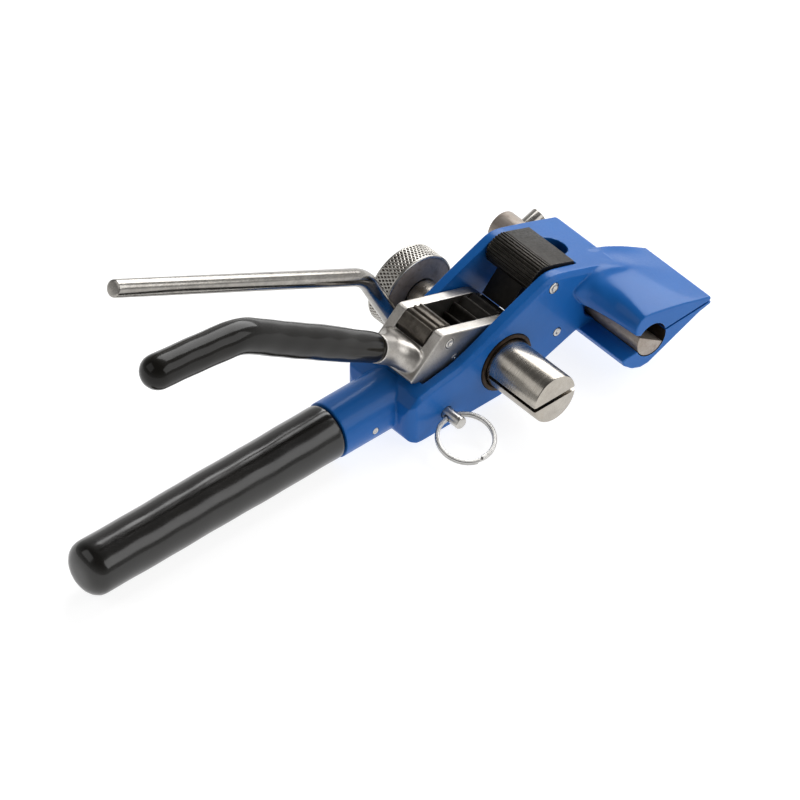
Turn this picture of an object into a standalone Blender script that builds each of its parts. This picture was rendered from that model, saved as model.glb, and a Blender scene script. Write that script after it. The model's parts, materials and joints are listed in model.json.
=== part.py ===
# Ratchet windlass tensioner for stainless steel band, with a rotary band cutter in the nose.
# Metres, +Z up. X runs from the handle (-X) to the nose tip (+X), the band side is -Y.
# The frame's origin is on the flat underside of the body's rear block, midway between the cheeks.
# The shapes below are drawn in mm from the windlass axis; AXIS_X and AXIS_Z place that axis in the frame.
import bpy, bmesh, math
from mathutils import Vector, Matrix

for _o in list(bpy.data.objects):
    bpy.data.objects.remove(_o, do_unlink=True)
for _m in list(bpy.data.meshes):
    bpy.data.meshes.remove(_m)

MM = 0.001

# ---------------------------------------------------------------- driving dimensions (mm)
AXIS_X = 41.0             # windlass axis ahead of the origin
AXIS_Z = 17.0             # windlass axis above the flat underside
CHEEK_OUT = 20.0          # outer face of each body cheek, +/-Y
WINDOW = 14.5             # half width of the ratchet window
WINDOW_X = (-40.0, 35.0)  # window ends

SPINDLE_R = 11.0          # slotted windlass end
SPINDLE_END = -50.0       # near end of the spindle, Y
JOURNAL_R = 9.0           # journal under fork, gear and far bush
NECK_R = 8.0
SLOT_W = 2.0              # band slot
SLOT_L = 28.0

GEAR_TIP_R = 16.2
GEAR_ROOT_R = 13.7
GEAR_TEETH = 18
GEAR_HALF = 8.0

KNOB_R = 18.3
KNOB_FACE_R = 17.6           # near face, inside its chamfer
KNOB_Y = (33.2, 45.2)

ARM_IN, ARM_OUT = 8.5, 13.5   # fork arms, |Y|
FORK_HUB_R = 16.0
FORK_PIN = (-24.7, 20.1)      # drive pawl pivot (X, Z from the windlass axis)
FORK_DOWEL = (-22.0, 11.3)

PAWL_PIN = (25.7, 24.9)       # holding pawl pivot
CROSS_PIN = (27.6, 0.2)       # spacer pin between the cheeks
PULL_PIN = (-31.9, -8.5)     # lever stop pin with the split ring

CUT_AXIS = (54.8, -1.8)       # cutter shaft
CUT_R = 7.5
BOSS_R = 9.8              # cast boss round the far end of the shaft
BOSS_END = 31.8
CUT_END = 45.4            # far end of the shaft
ROD_CROSS_Y = 36.4        # where the rod crosses the shaft
ROD_Y = 27.0              # where it runs beside the body
ROD_R = 3.8
ROD_RISE = 18.0           # degrees, rod through the shaft

HANDLE_Z = -4.6
HANDLE_R = 12.0
SOCKET_R = 12.3
BAR_R = 8.5
HANDLE_END = -208.6
HANDLE_START = -78.5

LEVER_R = 7.5
LEVER_CORE_R = 4.5
LEVER_PATH = [(-43.2, 18.8), (-124.2, 74.0), (-173.4, 80.3)]

GAP = 0.3                     # working clearance

# ---------------------------------------------------------------- materials
def material(name, rgb, rough, metal, coat=0.0):
    m = bpy.data.materials.new(name)
    m.use_nodes = True
    b = m.node_tree.nodes["Principled BSDF"]
    b.inputs["Base Color"].default_value = (*rgb, 1.0)
    b.inputs["Roughness"].default_value = rough
    b.inputs["Metallic"].default_value = metal
    b.inputs["Coat Weight"].default_value = coat
    m.diffuse_color = (*rgb, 1.0)
    return m

BLUE = material("blue_enamel", (0.022, 0.13, 0.46), 0.32, 0.0, 0.4)
PVC = material("black_pvc_dip", (0.012, 0.012, 0.012), 0.22, 0.0, 0.5)
STEEL = material("bright_steel", (0.55, 0.52, 0.48), 0.28, 1.0)
NICKEL = material("nickel_casting", (0.60, 0.57, 0.53), 0.34, 1.0)
BLACK = material("black_oxide_steel", (0.045, 0.04, 0.036), 0.45, 0.8)
CUTTER = material("hardened_steel", (0.30, 0.25, 0.20), 0.38, 1.0)
BRONZE = material("oiled_bronze", (0.16, 0.10, 0.06), 0.45, 0.9)
SPRING = material("spring_steel", (0.42, 0.41, 0.40), 0.35, 1.0)

# ---------------------------------------------------------------- mesh helpers (all in mm, Z from the windlass axis)
def to_mesh(verts, faces):
    bm = bmesh.new()
    vs = [bm.verts.new(((x + AXIS_X) * MM, y * MM, (z + AXIS_Z) * MM)) for x, y, z in verts]
    for f in faces:
        bm.faces.new([vs[i] for i in f])
    bmesh.ops.recalc_face_normals(bm, faces=bm.faces[:])
    me = bpy.data.meshes.new("shape")
    bm.to_mesh(me)
    bm.free()
    return me

def temp(me):
    o = bpy.data.objects.new("shape", me)
    bpy.context.scene.collection.objects.link(o)
    return o

def extrude(points, lo, hi, place):
    n = len(points)
    verts = [place(a, b, lo) for a, b in points] + [place(a, b, hi) for a, b in points]
    faces = [list(range(n)), list(range(2 * n - 1, n - 1, -1))]
    faces += [[i, (i + 1) % n, n + (i + 1) % n, n + i] for i in range(n)]
    return temp(to_mesh(verts, faces))

def plate(points, y0, y1):
    """Outline in X, Z carried along Y."""
    return extrude(points, y0, y1, lambda a, b, t: (a, t, b))

def post(points, z0, z1):
    """Outline in X, Y carried along Z."""
    return extrude(points, z0, z1, lambda a, b, t: (a, b, t))

def block(x0, x1, y0, y1, z0, z1):
    return plate([(x0, z0), (x1, z0), (x1, z1), (x0, z1)], y0, y1)

def circle(cx, cy, r, n, start=0.0):
    return [(cx + r * math.cos(start + 2 * math.pi * i / n), cy + r * math.sin(start + 2 * math.pi * i / n)) for i in range(n)]

def arc(cx, cy, r, a0, a1, n):
    return [(cx + r * math.cos(math.radians(a0 + (a1 - a0) * i / n)),
             cy + r * math.sin(math.radians(a0 + (a1 - a0) * i / n))) for i in range(n + 1)]

def disc(c, r, y0, y1, n=40):
    return plate(circle(c[0], c[1], r, n, math.pi / n), y0, y1)

def loft(sections):
    """Matched X, Z outlines at several Y stations."""
    n = len(sections[0][1])
    verts = [(x, y, z) for y, pts in sections for x, z in pts]
    faces = [list(range(n)), [len(verts) - 1 - i for i in range(n)]]
    for s in range(len(sections) - 1):
        a, b = s * n, (s + 1) * n
        faces += [[a + i, a + (i + 1) % n, b + (i + 1) % n, b + i] for i in range(n)]
    return temp(to_mesh(verts, faces))

def fillet_path(corners, radii, arc_steps=7):
    """Points along straight runs joined by arcs: (point, distance along, tangent)."""
    pts = [Vector(corners[0])]
    for i in range(1, len(corners) - 1):
        p, a, b = Vector(corners[i]), Vector(corners[i - 1]), Vector(corners[i + 1])
        u, v = (a - p).normalized(), (b - p).normalized()
        half = u.angle(v) / 2
        t = radii[i - 1] / math.tan(half)
        c = p + (u + v).normalized() * (radii[i - 1] / math.sin(half))
        s, e = p + u * t, p + v * t
        turn = math.pi - 2 * half
        axis = (s - c).cross(e - c).normalized()
        for k in range(arc_steps + 1):
            pts.append(c + Matrix.Rotation(turn * k / arc_steps, 3, axis) @ (s - c))
    pts.append(Vector(corners[-1]))
    return pts

def sweep(points, profile, seg=20):
    """A round solid along a path. profile: (distance along the path, radius) from pole to pole."""
    dist = [0.0]
    for a, b in zip(points, points[1:]):
        dist.append(dist[-1] + (b - a).length)
    total = dist[-1]
    def at(s):
        s = max(0.0, min(total, s))
        k = 0
        while k < len(dist) - 2 and s > dist[k + 1]:
            k += 1
        f = (s - dist[k]) / (dist[k + 1] - dist[k])
        return points[k].lerp(points[k + 1], f)
    def tangent(s):
        e = 0.6
        return (at(min(total, s + e)) - at(max(0.0, s - e))).normalized()
    # extra rings at the path's own bends between two profile stations
    stations = [profile[0]]
    for (s0, r0), (s1, r1) in zip(profile, profile[1:]):
        lo, hi = min(s0, s1), max(s0, s1)
        mid = [d for d in dist if lo + 0.5 < d < hi - 0.5]
        if s1 < s0:
            mid.reverse()
        for d in mid:
            stations.append((d, r0 + (r1 - r0) * (d - s0) / (s1 - s0)))
        stations.append((s1, r1))
    ref = Vector((0, 1, 0))
    verts, rings = [], []
    for s, r in stations:
        t = tangent(s)
        b = ref if abs(t.dot(ref)) < 0.9 else Vector((0, 0, 1))
        n = b.cross(t).normalized()
        b = t.cross(n).normalized()
        c = at(s)
        if r <= 1e-6:
            rings.append([len(verts)])
            verts.append(c)
        else:
            rings.append(list(range(len(verts), len(verts) + seg)))
            for i in range(seg):
                a = 2 * math.pi * i / seg
                verts.append(c + n * (r * math.cos(a)) + b * (r * math.sin(a)))
    faces = []
    for k, (p, q) in enumerate(zip(rings, rings[1:])):
        flat = abs(stations[k][0] - stations[k + 1][0]) < 1e-6
        if len(p) == 1 and flat:
            faces.append(list(reversed(q)))
            continue
        if len(q) == 1 and flat:
            faces.append(list(p))
            continue
        for i in range(seg):
            j = (i + 1) % seg
            if len(p) == 1:
                faces.append([p[0], q[j], q[i]])
            elif len(q) == 1:
                faces.append([p[i], p[j], q[0]])
            else:
                faces.append([p[i], p[j], q[j], q[i]])
    me = to_mesh([tuple(v) for v in verts], faces)
    bm = bmesh.new()
    bm.from_mesh(me)
    bmesh.ops.delete(bm, geom=[v for v in bm.verts if not v.link_faces], context="VERTS")
    bm.to_mesh(me)
    bm.free()
    return temp(me)

def rod(a, b, r, seg=24, chamfer=0.0):
    a, b = Vector(a), Vector(b)
    length = (b - a).length
    if chamfer:
        prof = [(0, 0), (0, r - chamfer), (chamfer, r), (length - chamfer, r), (length, r - chamfer), (length, 0)]
    else:
        prof = [(0, 0), (0, r), (length, r), (length, 0)]
    return sweep([a, b], prof, seg)

def turned_y(c, profile, seg=40):
    """A solid of revolution about Y. profile: (Y, radius) from pole to pole."""
    y0 = min(p[0] for p in profile)
    y1 = max(p[0] for p in profile)
    pts = [Vector((c[0], y0, c[1])), Vector((c[0], y1, c[1]))]
    return sweep(pts, [(y - y0, r) for y, r in profile], seg)

def ring_y(c, r_in, r_out, y0, y1, n=36):
    o = disc(c, r_out, y0, y1, n)
    return cut(o, disc(c, r_in, y0 - 1, y1 + 1, n))

def tube_loop(points, r, seg=8):
    """A wire along a smooth run of points, ends closed flat."""
    verts, rings = [], []
    n = None
    for i, p in enumerate(points):
        t = (points[min(i + 1, len(points) - 1)] - points[max(i - 1, 0)]).normalized()
        if n is None:
            n = t.orthogonal().normalized()
        n = (n - t * n.dot(t)).normalized()
        b = t.cross(n)
        rings.append(list(range(len(verts), len(verts) + seg)))
        for k in range(seg):
            a = 2 * math.pi * k / seg
            verts.append(tuple(p + n * (r * math.cos(a)) + b * (r * math.sin(a))))
    faces = [list(reversed(rings[0])), rings[-1]]
    for p, q in zip(rings, rings[1:]):
        faces += [[p[i], p[(i + 1) % seg], q[(i + 1) % seg], q[i]] for i in range(seg)]
    return temp(to_mesh(verts, faces))

def oval_loft(rings):
    """A solid through rings of equal point count, ends closed flat."""
    n = len(rings[0])
    verts = [p for ring in rings for p in ring]
    faces = [list(range(n)), [len(verts) - 1 - i for i in range(n)]]
    for j in range(len(rings) - 1):
        a, b = j * n, (j + 1) * n
        faces += [[a + i, a + (i + 1) % n, b + (i + 1) % n, b + i] for i in range(n)]
    return temp(to_mesh(verts, faces))

def boolean(a, b, how):
    m = a.modifiers.new("b", "BOOLEAN")
    m.operation = how
    m.solver = "EXACT"
    m.object = b
    bpy.context.view_layer.update()
    me = bpy.data.meshes.new_from_object(a.evaluated_get(bpy.context.evaluated_depsgraph_get()))
    a.modifiers.clear()
    a.data = me
    bpy.data.objects.remove(b, do_unlink=True)
    return a

def cut(a, *others):
    for b in others:
        boolean(a, b, "DIFFERENCE")
    return a

def fuse(a, *others):
    for b in others:
        boolean(a, b, "UNION")
    return a

def finish(o, name, mat, origin=(-AXIS_X, 0.0, -AXIS_Z)):
    """Name the piece, give it its material and set its origin (X, Y, Z from the windlass axis)."""
    w = Vector(((origin[0] + AXIS_X) * MM, origin[1] * MM, (origin[2] + AXIS_Z) * MM))
    bm = bmesh.new()
    bm.from_mesh(o.data)
    bmesh.ops.remove_doubles(bm, verts=bm.verts[:], dist=2e-6)
    bmesh.ops.dissolve_degenerate(bm, edges=bm.edges[:], dist=1e-6)
    bmesh.ops.recalc_face_normals(bm, faces=bm.faces[:])
    bm.to_mesh(o.data)
    bm.free()
    o.data.transform(Matrix.Translation(-w))
    o.location = w
    o.name = name
    o.data.name = name
    o.data.materials.clear()
    o.data.materials.append(mat)
    o.data.shade_smooth()
    o.data.set_sharp_from_angle(angle=math.radians(32))
    return o

def axis_empty(name, x, y, z):
    e = bpy.data.objects.new(name, None)
    e.empty_display_size = 0.01
    e.location = ((x + AXIS_X) * MM, y * MM, (z + AXIS_Z) * MM)
    bpy.context.scene.collection.objects.link(e)
    return e

# ---------------------------------------------------------------- body casting
OUTLINE = [(-52.0, -12.2), (-50.6, -14.8), (-47.8, -16.6), (-45.0, -17.0), (-3.0, -17.0), (20.0, -11.6), (38.0, -5.6), (44.0, -8.6),
           (50.0, -11.9), (60.0, -11.9), (64.0, -6.0), (64.3, 4.0), (62.7, 15.6), (60.8, 17.8), (45.0, 24.0),
           (33.8, 28.2), (28.0, 30.1), (23.5, 30.3), (4.0, 22.5), (-7.0, 17.6), (-15.0, 14.0), (-25.0, 10.2),
           (-40.0, 8.0), (-46.0, 6.4), (-50.6, 2.6), (-52.0, -2.0)]
EDGE_SOFT = 2.0            # chamfer along the top of the cheeks
EDGE = 0.8
TIP = [(81.5, -2.2), (87.4, -1.0), (87.4, 2.7)]
LOWER = [(39.3, -4.9), (40.1, -7.8), (44.4, -11.6), (49.3, -13.7), (53.4, -13.5)]
NOSE = [
    (-47.0, TIP + [(70.0, 8.3), (54.0, 12.2), (50.2, 12.0), (47.6, 9.8), (46.5, 6.8), (46.9, 4.2)] + LOWER),
    (-34.0, TIP + [(70.8, 9.6), (55.6, 14.6), (50.4, 14.9), (46.6, 12.4), (44.8, 8.8), (45.0, 5.0)] + LOWER),
    (-24.5, TIP + [(72.0, 10.5), (58.0, 16.4), (50.0, 19.0), (44.0, 18.0), (41.4, 13.2), (42.0, 7.4)] + LOWER),
    (-20.0, TIP + [(72.5, 10.8), (61.3, 17.4), (51.0, 21.2), (43.0, 20.4), (36.2, 16.8), (40.0, 8.5)] + LOWER),
    (-7.0, TIP + [(74.0, 11.3), (62.0, 17.5), (54.0, 20.2), (46.0, 20.8), (42.0, 15.0), (42.0, 8.1)] + LOWER),
]
def inset(points, depth):
    out = []
    for i, p in enumerate(points):
        a, b, c = Vector(points[i - 1]), Vector(p), Vector(points[(i + 1) % len(points)])
        n1 = Vector((-(b - a).y, (b - a).x)).normalized()
        n2 = Vector((-(c - b).y, (c - b).x)).normalized()
        m = (n1 + n2).normalized()
        out.append(tuple(b + m * (depth[i] / max(0.5, m.dot(n1)))))
    return out
depth = [EDGE_SOFT if z > 5 and x < 62 else EDGE for x, z in OUTLINE]
small = inset(OUTLINE, depth)
body = loft([(-CHEEK_OUT, small), (-CHEEK_OUT + 1.6, OUTLINE), (CHEEK_OUT - 1.6, OUTLINE), (CHEEK_OUT, small)])
for side in (-1, 1):
    cut(body, post([(-54.0, side * 22.0), (-46.5, side * 22.0)] + [(x, side * y) for x, y in arc(-46.5, 14.6, 5.5, 90, 180, 4)] + [(-54.0, side * 14.6)], -40, 40))
fuse(body, loft(NOSE))
fuse(body, rod((-78.0, 0, HANDLE_Z), (-44.0, 0, HANDLE_Z), SOCKET_R, 32))
fuse(body, disc(CUT_AXIS, BOSS_R, CHEEK_OUT - 1.0, BOSS_END, 30))
cut(body,
    block(WINDOW_X[0], WINDOW_X[1], -WINDOW, WINDOW, -8.6, 40),
    block(-36.6, WINDOW_X[1], -WINDOW, WINDOW, -30, -8.5),
    block(WINDOW_X[1] - 1.0, 42.7, -WINDOW + 0.2, WINDOW - 0.2, 13.0, 40),
    post(circle(42.0, 0.0, 6.6, 28), 13.0, 40),
    disc((0, 0), 13.5, -30, 0, 32),
    disc((0, 0), 11.5, 0, 30, 28),
    disc(CUT_AXIS, CUT_R + 0.4, -50, 40, 28),
    rod((CUT_AXIS[0], 26.0, CUT_AXIS[1] + 4), (CUT_AXIS[0], 26.0, CUT_AXIS[1] + 14), 1.8, 14),
    plate([(57.0, -1.6), (47.2, 4.4), (36.0, 11.0), (36.0, -4.7), (48.0, -4.3), (55.0, -6.5)], -50, -CHEEK_OUT),
    plate([(57.0, -1.6), (47.2, 4.4), (41.4, 7.6), (42.9, 0.5), (48.0, -4.3), (55.0, -6.5)], -21.0, -15.2),
    plate([(60.0, -1.25), (91.0, 0.25), (91.0, 1.45), (60.0, -0.05)], -50, -CHEEK_OUT),
    disc(PAWL_PIN, 2.8, -30, 30, 16),
    disc(CROSS_PIN, 2.3, -30, 30, 16),
    disc(PULL_PIN, 3.0, -30, 30, 16),
    rod((-90.0, 0, HANDLE_Z), (-51.0, 0, HANDLE_Z), BAR_R + GAP, 28),
    disc((-63.0, HANDLE_Z - 1.0), 1.8, -30, 30, 14))
finish(body, "body_frame", BLUE)

# ---------------------------------------------------------------- main handle
bar = rod((HANDLE_END + 5.0, 0, HANDLE_Z), (-51.5, 0, HANDLE_Z), BAR_R, 28, 0.8)
cut(bar, disc((-63.0, HANDLE_Z - 1.0), 1.8, -30, 30, 14))
finish(bar, "handle_bar", STEEL)

length = HANDLE_START - HANDLE_END
grip = sweep([Vector((HANDLE_START, 0, HANDLE_Z)), Vector((HANDLE_END, 0, HANDLE_Z))],
             [(length - 4.6, 0), (length - 4.6, BAR_R + GAP), (0, BAR_R + GAP), (0, HANDLE_R - 0.7), (0.7, HANDLE_R),
              (length - 6.0, HANDLE_R), (length - 2.8, HANDLE_R - 1.5), (length - 0.7, HANDLE_R - 4.2),
              (length, HANDLE_R - 7.0), (length, 0)], 28)
finish(grip, "handle_grip", PVC)
finish(rod((-63.0, -12.1, HANDLE_Z - 1.0), (-63.0, 12.1, HANDLE_Z - 1.0), 1.5, 14), "handle_cross_pin", STEEL)

# ---------------------------------------------------------------- fixed bushes and pins
finish(ring_y((0, 0), SPINDLE_R + GAP, 13.2, -20.7, -14.9), "near_bush", BRONZE)
finish(ring_y((0, 0), JOURNAL_R + GAP, 11.2, 14.9, 20.4), "far_bush", BRONZE)
finish(rod((PAWL_PIN[0], -20.2, PAWL_PIN[1]), (PAWL_PIN[0], 20.2, PAWL_PIN[1]), 2.5, 20, 0.3), "holding_pawl_pin", STEEL)
finish(rod((CROSS_PIN[0], -20.2, CROSS_PIN[1]), (CROSS_PIN[0], 20.2, CROSS_PIN[1]), 2.0, 20, 0.3), "frame_spacer_pin", STEEL)

# ---------------------------------------------------------------- windlass spindle, gear, knob
windlass_axis = axis_empty("windlass_axis", 0, 0, 0)
spindle = turned_y((0, 0), [(SPINDLE_END, 0), (SPINDLE_END, SPINDLE_R - 0.6), (SPINDLE_END + 0.6, SPINDLE_R), (-14.2, SPINDLE_R),
                            (-14.2, JOURNAL_R), (20.8, JOURNAL_R), (20.8, NECK_R), (21.3, NECK_R), (21.3, 6.9), (22.5, 6.9),
                            (22.5, NECK_R), (32.8, NECK_R), (32.8, 7.0), (39.7, 7.0), (39.7, 0)], 32)
cut(spindle, block(-15, 15, SPINDLE_END - 1, SPINDLE_END + SLOT_L, -SLOT_W / 2, SLOT_W / 2),
    block(-2.25, 2.25, -7.3, 7.3, 6.9, 12),
    rod((0, 34.0, 0), (0, 45.0, 0), 2.7, 16))
finish(spindle, "windlass_spindle", STEEL, (0, 0, 0))

teeth = []
for i in range(GEAR_TEETH):
    a = 2 * math.pi * i / GEAR_TEETH
    p = 2 * math.pi / GEAR_TEETH
    for f, r in ((0.0, GEAR_ROOT_R), (0.04, GEAR_TIP_R), (0.22, GEAR_TIP_R), (0.62, GEAR_ROOT_R + 0.9)):
        teeth.append((r * math.cos(a + f * p), r * math.sin(a + f * p)))
gear = plate(teeth, -GEAR_HALF, GEAR_HALF)
cut(gear, disc((0, 0), JOURNAL_R + GAP, -20, 20, 24), block(-2.25, 2.25, -20, 20, 5, 11.3))
finish(gear, "ratchet_gear", BLACK, (0, 0, 0))
finish(block(-2.0, 2.0, -7.0, 7.0, 7.2, 11.0), "gear_key", STEEL, (0, 0, 0))

knob = turned_y((0, 0), [(KNOB_Y[0], 0), (KNOB_Y[0], 12.0), (KNOB_Y[0] + 1.0, KNOB_FACE_R), (KNOB_Y[0] + 1.6, KNOB_R), (KNOB_Y[1] - 1.2, KNOB_R),
                         (KNOB_Y[1], KNOB_R - 1.2), (KNOB_Y[1], 0)], 40)
cut(knob, disc((0, 0), 7.3, KNOB_Y[0] - 1, 40.0, 26), disc((0, 0), 2.8, 38, 48, 16), disc((0, 0), 5.0, 43.3, 48, 20))
finish(knob, "knurled_knob", STEEL, (0, 0, 0))
screw = turned_y((0, 0), [(35.0, 0), (35.0, 2.4), (43.6, 2.4), (43.6, 4.6), (44.8, 4.6), (45.1, 4.2), (45.1, 0)], 18)
cut(screw, block(-6, 6, 44.2, 47, -0.5, 0.5))
finish(screw, "knob_screw", STEEL, (0, 0, 0))
clip = ring_y((0, 0), 7.2, 10.6, 21.5, 22.3, 28)
cut(clip, block(-0.9, 0.9, 20, 24, 5, 12))
finish(clip, "spindle_circlip", BLACK, (0, 0, 0))

# ---------------------------------------------------------------- ratchet lever
lever_axis = axis_empty("lever_axis", 0, 0, 0)
ARM = (arc(0, 0, FORK_HUB_R, -138, 73, 14)
       + [(-27.4, 26.3), (-29.2, 26.1), (-45.3, 11.4), (-45.2, 10.2), (-42.8, 8.9), (-39.5, 8.5), (-38.9, 2.0), (-36.8, -2.0), (-34.6, -5.5), (-29.5, -5.2)])
fork = plate(ARM, -ARM_OUT, ARM_OUT)
cut(fork, plate([(60, -60), (60, 60), (-60, 60), (-60, -60)], -ARM_IN, ARM_IN))
BASE = [(-45.3, 11.4), (-45.2, 10.2), (-42.8, 8.9), (-39.5, 8.5), (-38.9, 2.0), (-37.9, 0.0), (-33.4, 0.0), (-33.4, 15.0), (-34.7, 20.6)]
fuse(fork, plate(BASE, -ARM_OUT + 1.0, ARM_OUT - 1.0))
d1 = (Vector((LEVER_PATH[1][0], 0, LEVER_PATH[1][1])) - Vector((LEVER_PATH[0][0], 0, LEVER_PATH[0][1]))).normalized()
neck0 = Vector((-38.6, 0, 15.27)) - d1 * 2.0
neck1 = Vector((-52.3, 0, 24.5))
flare = []
up = Vector((-d1.z, 0, d1.x)) * -1.0
for s, w, h, e in ((-3.0, 12.3, 6.0, 0.6), (1.8, 12.3, 6.3, 0.6), (3.8, 10.4, 6.3, 0.75), (6.2, 8.2, 6.2, 0.9), (9.5, 6.7, 6.1, 1.0), (13.5, 6.05, 6.05, 1.0)):
    c = Vector((-38.6, 0, 15.27)) + d1 * s
    ring = []
    for k in range(20):
        a = 2 * math.pi * (k + 0.5) / 20
        ca, sa = math.cos(a), math.sin(a)
        ring.append(tuple(c + Vector((0, 1, 0)) * (w * math.copysign(abs(ca) ** e, ca)) + up * (h * math.copysign(abs(sa) ** e, sa))))
    flare.append(ring)
fuse(fork, oval_loft(flare))
fuse(fork, sweep([neck0, neck1], [(0, 0), (0, 5.6), (5.0, 6.0), (11.0, 6.3), ((neck1 - neck0).length, 6.0), ((neck1 - neck0).length, 0)], 24))
cut(fork,
    plate([(-36.4, 21.2), (-34.6, 20.6), (-33.4, 15.0), (-33.4, 14.0), (-15, 14.0), (-15, 40), (-28.0, 40)], -ARM_IN, ARM_IN),
    disc((0, 0), JOURNAL_R + GAP, -20, 20, 24),
    disc(FORK_PIN, 2.5, -20, 20, 18),
    disc(FORK_DOWEL, 1.9, -20, 0, 14),
    rod(Vector((LEVER_PATH[0][0], 0, LEVER_PATH[0][1])) + d1 * 0.0, neck1 + d1 * 5, LEVER_CORE_R + GAP, 16),
    rod((-37.8, 0, 8.0), (-30.0, 0, 8.0), 2.4, 16))
finish(fork, "lever_fork", NICKEL, (0, 0, 0))

path = fillet_path([(x, 0, z) for x, z in LEVER_PATH], [26.0], 5)
total = sum((b - a).length for a, b in zip(path, path[1:]))
core_end = total - 4.2
core = sweep(path, [(0.4, 0), (0.4, LEVER_CORE_R), (core_end, LEVER_CORE_R), (core_end, 0)], 16)
finish(core, "lever_bar", STEEL, (0, 0, 0))
g0 = (neck1 - path[0]).length + 0.4
grip2 = sweep(path, [(core_end + 0.4, 0), (core_end + 0.4, LEVER_CORE_R + GAP), (g0, LEVER_CORE_R + GAP), (g0, LEVER_R - 1.8), (g0 + 1.0, LEVER_R - 1.2), (g0 + 30.0, LEVER_R),
                     (total - 5.0, LEVER_R), (total - 2.6, LEVER_R - 0.9), (total - 0.9, LEVER_R - 2.8), (total - 0.2, LEVER_R - 5.0), (total, 0)], 18)
finish(grip2, "lever_grip", PVC, (0, 0, 0))
finish(rod((FORK_PIN[0], -13.7, FORK_PIN[1]), (FORK_PIN[0], 13.7, FORK_PIN[1]), 2.2, 18, 0.3), "drive_pawl_pin", STEEL, (0, 0, 0))
finish(rod((FORK_DOWEL[0], -13.7, FORK_DOWEL[1]), (FORK_DOWEL[0], -8.9, FORK_DOWEL[1]), 1.6, 14, 0.2), "fork_dowel", STEEL, (0, 0, 0))

drive = plate([(-33.9, 21.3), (-34.0, 22.9), (-31.4, 25.3), (-28.6, 26.4), (-25.6, 26.5), (-25.1, 25.7), (-24.4, 26.4), (-22.8, 25.9), (-22.4, 25.1),
               (-21.6, 25.6), (-19.9, 24.1), (-18.7, 21.6), (-18.4, 17.6), (-16.8, 12.5), (-15.55, 6.1), (-16.3, 4.0), (-19.8, 6.2),
               (-22.4, 12.8), (-26.0, 15.2), (-32.7, 16.2)], -8.1, 8.1)
cut(drive, disc(FORK_PIN, 2.5, -20, 20, 18))
finish(drive, "drive_pawl", BLACK, (FORK_PIN[0], 0, FORK_PIN[1]))
def coil(p0, p1, r, wire, turns, per=12, seg=6):
    p0, p1 = Vector(p0), Vector(p1)
    t = (p1 - p0).normalized()
    n = Vector((0, 1, 0)).cross(t).normalized() if abs(t.y) < 0.9 else Vector((1, 0, 0))
    b = t.cross(n)
    k = int(turns * per)
    return tube_loop([p0 + (p1 - p0) * (i / k) + n * (r * math.cos(2 * math.pi * i / per)) + b * (r * math.sin(2 * math.pi * i / per))
                      for i in range(k + 1)], wire, seg)
finish(coil((-37.2, 0, 8.0), (-21.6, 0, 8.0), 1.6, 0.35, 6, 9, 4), "drive_pawl_spring", SPRING, (0, 0, 0))

# ---------------------------------------------------------------- holding pawl
hold = plate(arc(PAWL_PIN[0], PAWL_PIN[1], 7.3, 62, 306, 20)
             + [(31.6, 21.4), (33.6, 24.4), (41.4, 22.2), (42.2, 23.4), (42.1, 26.3), (30.6, 30.8)], -13.7, 13.7)
fuse(hold, plate([(21.5, 23.5), (11.25, 12.35), (12.45, 11.15), (26.0, 19.0)], -7.7, 7.7))
cut(hold, disc(PAWL_PIN, 2.8, -20, 20, 20))
finish(hold, "holding_pawl", BLACK, (PAWL_PIN[0], 0, PAWL_PIN[1]))
finish(coil((38.7, 0, 13.6), (38.7, 0, 21.7), 2.4, 0.4, 4, 11, 4), "holding_pawl_spring", SPRING)

# ---------------------------------------------------------------- cutter
cut_axis = axis_empty("cutter_axis", CUT_AXIS[0], 0, CUT_AXIS[1])
shaft = turned_y(CUT_AXIS, [(-47.0, 0), (-47.0, CUT_R - 0.4), (-46.6, CUT_R), (23.9, CUT_R), (23.9, 5.8), (28.1, 5.8), (28.1, CUT_R),
                            (CUT_END - 0.6, CUT_R), (CUT_END, CUT_R - 0.6), (CUT_END, 0)], 32)
# half-round working end: the flat runs through the axis and faces up and forward
n = Vector((0.576, 0, 0.817))
t = Vector((0.817, 0, -0.576))
c3 = Vector((CUT_AXIS[0], 0, CUT_AXIS[1]))
q = [c3 + t * 12, c3 + t * 12 + n * 12, c3 - t * 12 + n * 12, c3 - t * 12]
cut(shaft, plate([(p.x, p.z) for p in q], -50, -19.5))
cr = math.radians(ROD_RISE)
rise = Vector((math.cos(cr), 0, math.sin(cr)))
cross = Vector((CUT_AXIS[0], ROD_CROSS_Y, CUT_AXIS[1]))
cut(shaft, rod(cross - rise * 12, cross + rise * 12, ROD_R + GAP, 20),
    disc(CUT_AXIS, 2.2, 39.0, CUT_END + 1, 16))
finish(shaft, "cutter_shaft", CUTTER, (CUT_AXIS[0], 0, CUT_AXIS[1]))

rear = cross - rise * 15.5
rp = fillet_path([tuple(cross + rise * 14.0), tuple(rear), (26.0, ROD_Y + 0.5, -11.6), (19.0, ROD_Y, -12.42), (-12.4, ROD_Y, -12.42),
                  (-35.4, ROD_Y, 35.2), (-166.1, ROD_Y, 104.9)], [9.0, 9.0, 9.0, 12.0, 20.0], 4)
L = sum((b - a).length for a, b in zip(rp, rp[1:]))
lever = sweep(rp, [(0.0, 0), (0.0, ROD_R - 0.3), (0.3, ROD_R), (L - 0.8, ROD_R), (L, ROD_R - 0.8), (L, 0)], 14)
finish(lever, "cutter_lever_rod", STEEL, (CUT_AXIS[0], 0, CUT_AXIS[1]))
grub = turned_y(CUT_AXIS, [(40.5, 0), (40.5, 1.9), (CUT_END - 0.3, 1.9), (CUT_END - 0.3, 0)], 16)
cut(grub, disc(CUT_AXIS, 1.1, 42.0, CUT_END + 1, 6))
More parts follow.
